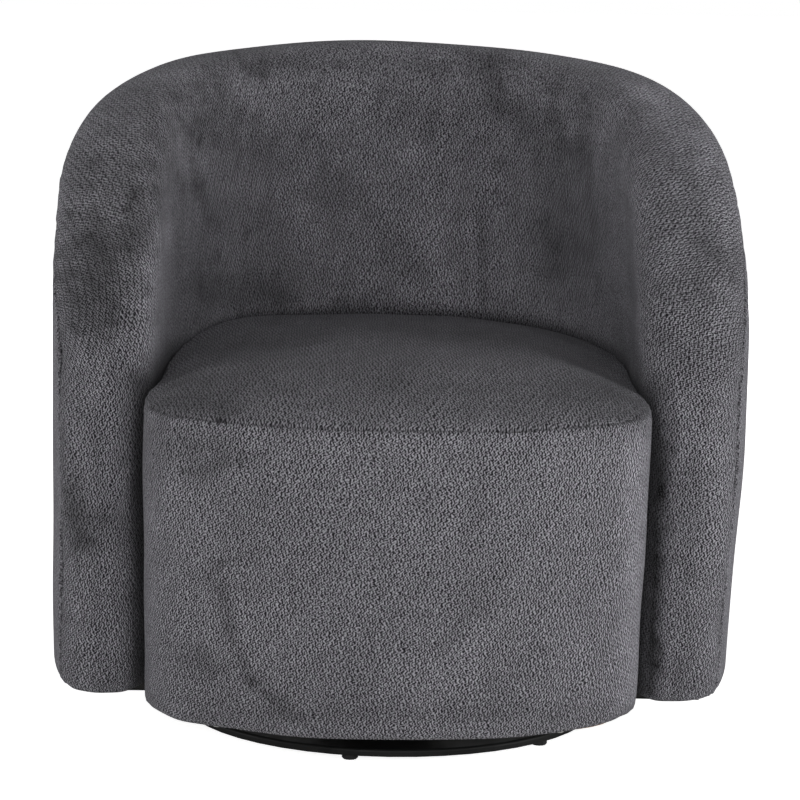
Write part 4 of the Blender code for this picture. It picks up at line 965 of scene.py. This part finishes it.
cover_fabric = chenille_material(
    "grey_chenille", chenille, (0.0095, 0.009, 0.0115, 1.0), (0.300, 0.293, 0.318, 1.0)
)
plywood = wood_material(
    "birch_plywood", wood, (0.46, 0.31, 0.17, 1.0), (0.66, 0.49, 0.31, 1.0), stretch=(1.0, 0.12, 0.6)
)
pine = wood_material(
    "planed_pine", wood, (0.52, 0.34, 0.17, 1.0), (0.76, 0.57, 0.34, 1.0), stretch=(0.9, 0.9, 0.12)
)
hardboard = speckled_material(
    "brown_hardboard", speck, (0.16, 0.09, 0.05, 1.0), (0.27, 0.17, 0.10, 1.0),
    size=0.8, relief=0.0002, roughness=(0.55, 0.7),
)
felt = speckled_material(
    "grey_felt", speck, (0.16, 0.155, 0.15, 1.0), (0.42, 0.41, 0.39, 1.0),
    size=1.4, relief=0.0008, roughness=(0.9, 1.0),
)
dust_cloth = speckled_material(
    "black_dust_sheet", speck, (0.008, 0.008, 0.009, 1.0), (0.03, 0.03, 0.031, 1.0),
    size=1.1, relief=0.0003, roughness=(0.82, 0.95),
)
black_board = speckled_material(
    "black_stained_board", speck, (0.006, 0.006, 0.006, 1.0), (0.016, 0.015, 0.014, 1.0),
    size=0.9, relief=0.0003, roughness=(0.7, 0.85),
)
powder_coat = speckled_material(
    "black_powder_coat", speck, (0.0035, 0.0038, 0.0038, 1.0), (0.008, 0.0083, 0.0083, 1.0),
    size=1.6, relief=0.00008, roughness=(0.5, 0.62), Specular_IOR_Level=0.12,
)
zinc = speckled_material(
    "zinc_plate", speck, (0.42, 0.42, 0.41, 1.0), (0.62, 0.62, 0.60, 1.0),
    size=0.9, relief=0.00005, roughness=(0.28, 0.45), metallic=1.0,
)
spring_steel = speckled_material(
    "oiled_spring_steel", speck, (0.10, 0.095, 0.09, 1.0), (0.24, 0.23, 0.22, 1.0),
    size=1.0, relief=0.00006, roughness=(0.30, 0.5), metallic=1.0,
)
nylon = speckled_material(
    "natural_nylon", speck, (0.62, 0.60, 0.54, 1.0), (0.76, 0.74, 0.68, 1.0),
    size=0.7, relief=0.00004, roughness=(0.38, 0.5),
)
black_plastic = speckled_material(
    "black_moulded_plastic", speck, (0.005, 0.005, 0.0055, 1.0), (0.012, 0.012, 0.0125, 1.0),
    size=1.2, relief=0.00006, roughness=(0.5, 0.62), Specular_IOR_Level=0.22,
)


# Finishes of the carried-over frame pieces

NODE_FINISHES = (
    ("base_plate", powder_coat),
    ("glide_", black_plastic),
    ("lower_swivel_plate", zinc),
    ("upper_swivel_plate", zinc),
    ("plate_bolt_", zinc),
    ("plate_screw_", zinc),
    ("body_screw_", zinc),
    ("centre_pin", zinc),
    ("ball_ring", nylon),
    ("base_board", black_board),
    ("drum_floor", plywood),
    ("shell_", plywood),
    ("dust_cover", dust_cloth),
    ("drum_front_panel", hardboard),
    ("deck_rail_", pine),
    ("post_", pine),
    ("arm_post_", pine),
    ("seat_spring_", spring_steel),
    ("spring_felt", felt),
)
for node_name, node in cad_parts.items():
    for start, finish in NODE_FINISHES:
        if node_name.startswith(start):
            for held in node.material_slots:
                held.material = finish
            break


# Covers

def body_lean(z):
    """How far the soft body has settled towards its right side at a height."""
    return LEAN * eased(z, *LEAN_Z) * (1 - LEAN_BACK * eased(z, *LEAN_BACK_Z))


def settled_wall(points):
    """Wall cover as it has settled: leaning to the right, fuller at the shoulders, drawn in at the waist."""
    x, y, z = (points[..., axis] for axis in range(3))
    reach = np.abs(x)
    skin = eased(reach, *WALL_SKIN_X)
    back = eased(y, *WALL_BACK_Y)
    lining = np.where(x > 0, RIGHT_LINING_LEAN, 0.0) * (1 - back) + back
    weight = skin + (1 - skin) * lining
    fuller = np.where(x < 0, *SHOULDER_FULLNESS)
    shoulder = fuller * np.exp(-(((reach - SHOULDER_X) / SHOULDER_SPREAD) ** 2)) * eased(z, *SHOULDER_Z)
    drawn = np.where(x < 0, *WAIST_DRAWN_IN) * skin * np.exp(-(((z - WAIST_Z) / WAIST_SPREAD) ** 2))
    pressed = eased(ARM_EDGE_X - reach, 0.0, ARM_EDGE_WIDTH) * (1 - eased(z, *ARM_EDGE_Z))
    pressed = pressed * (1 - eased(y, *ARM_EDGE_Y))
    out, back_shift = ARM_EDGE_PRESS
    across = x + body_lean(z) * weight + np.sign(x) * (shoulder * 0.5 - drawn + out * pressed)
    return np.stack([across, y + back_shift * pressed**2, z + shoulder], -1)


def settled_drum(points, tucked=0.0):
    """Drum cover as it has settled: its sides pressed out, and its corners lifted unless tucked under."""
    x, y, z = (points[..., axis] for axis in range(3))
    reach = np.abs(x)
    side = eased(reach, *DRUM_SIDE_X) * np.sign(x) * (1 - eased(z, *DRUM_SIDE_Z))
    lean = body_lean(z) * eased(x, *DRUM_LEAN_X)
    lift = np.where(x < 0, *DRUM_FOOT_LIFT) * eased(reach, *DRUM_FOOT_X) * (1 - eased(z, *DRUM_FOOT_Z))
    lift = lift + DRUM_CORNER_LIFT * eased(reach, *DRUM_CORNER_X) * (1 - eased(z, *DRUM_CORNER_Z))
    lift = lift * (1 - eased(y, *DRUM_LIFT_Y)) * (1 - tucked)
    puff = np.exp(-((x - SEAT_PUFF_X) / SEAT_PUFF_SPREAD) ** 2)
    lift = lift + SEAT_PUFF * puff * eased(y, *SEAT_PUFF_Y) * eased(z, *SEAT_PUFF_Z)
    across = x + lean + DRUM_SIDE_PRESS * side + DRUM_RIGHT_PRESS * eased(x, *DRUM_SIDE_X)
    return np.stack([across, y, z + lift], -1)


def patches(cloth, seed, strength=1.0):
    """Soft light and dark places of brushed pile."""
    (broad_share, *broad_lengths), (small_share, *small_lengths) = PATCHES
    broad = undulation(cloth, seed, *broad_lengths)
    small = undulation(cloth, seed + 50, *small_lengths)
    return strength * (broad_share * broad + small_share * small)


def seam_shadow(distance, width=SEAM_SHADE_WIDTH):
    """Painted shade in the groove of a seam."""
    return SEAM_PAINTED_SHADE * np.exp(-((distance / width) ** 2))


def pile_and_light_strokes(points, marks, seed):
    """Lighter and darker strokes on the side seen from the front: brushed pile, and painted light and shade.
    """
    arm_distance = CAMERA_DISTANCE + ARM_FRONT_Y
    reach = arm_distance / (CAMERA_DISTANCE + points[..., 1])
    seen = np.stack([points[..., 0] * reach, CAMERA_HEIGHT + (points[..., 2] - CAMERA_HEIGHT) * reach], -1)
    ragged = 1 + STROKE_RAGGEDNESS * undulation(seen, seed, *STROKE_RAG_LENGTHS)
    total = np.zeros(points.shape[:-1])
    for left, top, right, bottom, width, amount in marks:
        start = on_arm_plane(left, top)
        along = on_arm_plane(right, bottom) - start
        share = np.clip(((seen - start) @ along) / float(along @ along), 0.0, 1.0)
        gap = np.linalg.norm(seen - start - share[..., None] * along, axis=-1)
        half_width = width * arm_distance / FOCAL_PIXELS
        total += amount * np.exp(-((gap * ragged / half_width) ** STROKE_EDGE_POWER))
    return total


def turned_over(*grids):
    """The same grids with their columns the other way round, so that the cover faces out."""
    return [grid[:, ::-1] for grid in grids]


# Inner cover
points, cloth = turned_over(*wall_cover(outer=False))
distance = seam_distance(points)
points = settled_wall(with_relief(points, cloth, distance, seeds=(5, 11), rise=0.0007, lengths=(0.11, 0.34)))
x, y, z = (points[..., axis] for axis in range(3))
pile_and_painted_light = patches(cloth, 21, 1.0 + UPPER_MOTTLING * eased(z, *UPPER_WALL_Z))
pile_and_painted_light += pile_and_light_strokes(points, LEFT_ARM_MARKS + RIGHT_ARM_MARKS + BACK_MARKS, 31) + seam_shadow(distance)
# Painted shade on the inner cover where it runs into the gap beside the drum
gap_shade_mask = eased(y, *WALL_GAP_Y) * eased(WALL_GAP_X - np.abs(x), *WALL_GAP_EDGE)
gap_shade_mask = gap_shade_mask * (1 - eased(z - seat_edge_z(y), *WALL_GAP_TOP))
pile_and_painted_light = pile_and_painted_light * (1 - gap_shade_mask) + GAP_PAINTED_SHADE * gap_shade_mask
on_arm = (1 - eased(z, *UPPER_WALL_Z)) * eased(np.abs(x), *ARM_X)
clearness = INNER_CLEARNESS + np.where(x < 0, LEFT_ARM_CLEARNESS, RIGHT_ARM_CLEARNESS) * on_arm
clearness += RIM_CLEARNESS * eased(z, *RIM_Z)
inner = cloth_piece("inner_fabric", points, cloth, pile_and_painted_light, clearness, cover_fabric)
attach(thicken(turn_under(inner)), "chair")
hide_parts("inner_cover", "shell_foam")

# Outer cover
points, cloth = wall_cover(outer=True)
distance = seam_distance(points)
points = settled_wall(with_relief(points, cloth, distance, seeds=(6, 12), rise=0.0006, lengths=(0.12, 0.36)))
# The outer cover's pile, painted shade in its seam groove, and painted rim light over the whole cover
pile_and_painted_light = patches(cloth, 22) + seam_shadow(distance) + OUTER_PAINTED_RIM_LIGHT
clearness = np.full(cloth.shape[:2], OUTER_CLEARNESS)
outer = cloth_piece("outer_fabric", points, cloth, pile_and_painted_light, clearness, cover_fabric)
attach(thicken(turn_under(outer)), "chair")
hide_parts("outer_cover")

# Seat cover
points, cloth, distance = seat_grid()
rise = 0.0010 * (1 - np.exp(-distance / SEAT_WAVE_START))
points = settled_drum(with_relief(points, cloth, distance, seeds=(7, 13), rise=rise, lengths=(0.08, 0.26)))
points[:, -1] = points[:, 0]
points[-1] = points[-1].mean(axis=0)
x, y = points[..., 0], points[..., 1]
# Seat's pile, with painted shade over the whole seat and at its right side, painted light at its front edge,
# and lighter at its back edge
pile_and_painted_light = patches(cloth, 23) + pile_and_light_strokes(points, SEAT_MARKS, 33) + SEAT_PAINTED_SHADE
pile_and_painted_light += seam_shadow(distance, THIN_SEAM_SHADE_WIDTH)
pile_and_painted_light += SEAT_BACK_EDGE_LIGHTENING * (1 - eased(distance, *SEAT_EDGE)) * eased(y, *SEAT_BACK_Y)
pile_and_painted_light += SEAT_FRONT_PAINTED_LIGHT * (1 - eased(y, *SEAT_FRONT_Y)) + SEAT_RIGHT_PAINTED_SHADE * eased(x, *SEAT_RIGHT_X)
clearness = SEAT_CLEARNESS + SEAT_FRONT_CLEARNESS * (1 - eased(y, *SEAT_FRONT_WEAVE_Y))
seat = cloth_piece("seat_fabric", points, cloth, pile_and_painted_light, clearness, cover_fabric, wrapped=True)
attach(thicken(seat), "chair")
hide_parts("seat_cover", "seat_foam")

# Front band
points, cloth, distance = turned_over(*band_grid())
points = with_relief(points, cloth, distance, seeds=(8, 14), rise=0.0007, lengths=(0.11, 0.32))
points = settled_drum(points, tucked=eased(distance - (SEAM_Z - FABRIC_BOTTOM_Z), *DRUM_TUCK))
x, y = points[..., 0], points[..., 1]
pile_and_painted_light = patches(cloth, 24, BAND_PATCHES) + pile_and_light_strokes(points, BAND_MARKS, 34)
pile_and_painted_light += seam_shadow(distance, THIN_SEAM_SHADE_WIDTH)
# Painted shade on the band's sides where they run into the gap behind the arm fronts
gap_shade_mask = eased(y, *BAND_GAP_Y)
pile_and_painted_light = pile_and_painted_light * (1 - gap_shade_mask) + GAP_PAINTED_SHADE * gap_shade_mask
clearness = BAND_CLEARNESS + BAND_SIDE_CLEARNESS * eased(np.abs(x), *BAND_SIDE_X)
band = cloth_piece("front_band_fabric", points, cloth, pile_and_painted_light, clearness, cover_fabric)
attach(thicken(band), "chair")
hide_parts("front_band", "drum_foam")


# Floor, light and camera

def stage_plane(name, size, z, material):
    """Large flat sheet of the stage."""
    bm = bmesh.new()
    bmesh.ops.create_grid(bm, x_segments=1, y_segments=1, size=size)
    for vert in bm.verts:
        vert.co.z = z
    mesh = bpy.data.meshes.new(name)
    bm.to_mesh(mesh)
    bm.free()
    obj = bpy.data.objects.new(name, mesh)
    bpy.context.scene.collection.objects.link(obj)
    mesh.materials.append(material)
    return obj


def floor_material():
    """Pale floor."""
    material, tree, shader = new_material("pale_floor", roughness=0.85, Specular_IOR_Level=0.1)
    shader.inputs["Base Color"].default_value = (0.93, 0.93, 0.93, 1.0)
    shader.inputs["Emission Color"].default_value = (1.0, 1.0, 1.0, 1.0)
    rays = tree.nodes.new("ShaderNodeLightPath")
    glow = maths(tree, "MULTIPLY", rays.outputs["Is Camera Ray"], 0.84)
    tree.links.new(glow, shader.inputs["Emission Strength"])
    return material


def soft_lamp(name, place, target, size, power):
    """Large soft rectangular lamp aimed at a place."""
    data = bpy.data.lights.new(name, "AREA")
    data.shape = "RECTANGLE"
    data.size, data.size_y = size
    data.energy = power
    lamp = bpy.data.objects.new(name, data)
    lamp.location = place
    lamp.rotation_euler = (Vector(target) - Vector(place)).to_track_quat("-Z", "Y").to_euler()
    bpy.context.scene.collection.objects.link(lamp)
    return lamp


stage_plane("floor", 14.0, 0.0, floor_material())
soft_lamp("front_lamp", (0.1, -4.4, 0.90), (0.0, 0.0, 0.36), (1.8, 1.0), 94.0)
soft_lamp("right_lamp", (3.3, -0.95, 0.62), (0.0, 0.0, 0.38), (1.1, 0.8), 59.0)
soft_lamp("left_lamp", (-3.3, -0.5, 0.70), (0.0, 0.0, 0.38), (1.1, 0.8), 30.0)
soft_lamp("back_lamp", (0.4, 3.6, 0.42), (0.0, 0.0, 0.36), (1.8, 0.6), 46.0)

world = bpy.data.worlds.new("studio")
bpy.context.scene.world = world
world.use_nodes = True
sky = world.node_tree
background = sky.nodes["Background"]
background.inputs["Color"].default_value = (1.0, 1.0, 1.0, 1.0)
rays = sky.nodes.new("ShaderNodeLightPath")
seen = maths(sky, "MAXIMUM", rays.outputs["Is Camera Ray"], rays.outputs["Is Glossy Ray"])
seen = maths(sky, "MAXIMUM", seen, rays.outputs["Is Transmission Ray"])
sky.links.new(remap(sky, seen, 0.0, 1.0, 0.18, 1.0), background.inputs["Strength"])
bpy.context.scene.view_settings.view_transform = "Standard"


def photo_camera():
    """Camera at the front view's place, above the seat and looking a little down."""
    place, across, upward, forward = camera_axes()
    data = bpy.data.cameras.new("camera")
    data.sensor_width = 36.0
    data.lens = FOCAL_PIXELS / PICTURE_SIZE * data.sensor_width
    camera = bpy.data.objects.new("camera", data)
    turn = Matrix((across, upward, -forward)).transposed().to_4x4()
    camera.matrix_world = Matrix.Translation(place) @ turn
    bpy.context.scene.collection.objects.link(camera)
    bpy.context.scene.camera = camera


photo_camera()
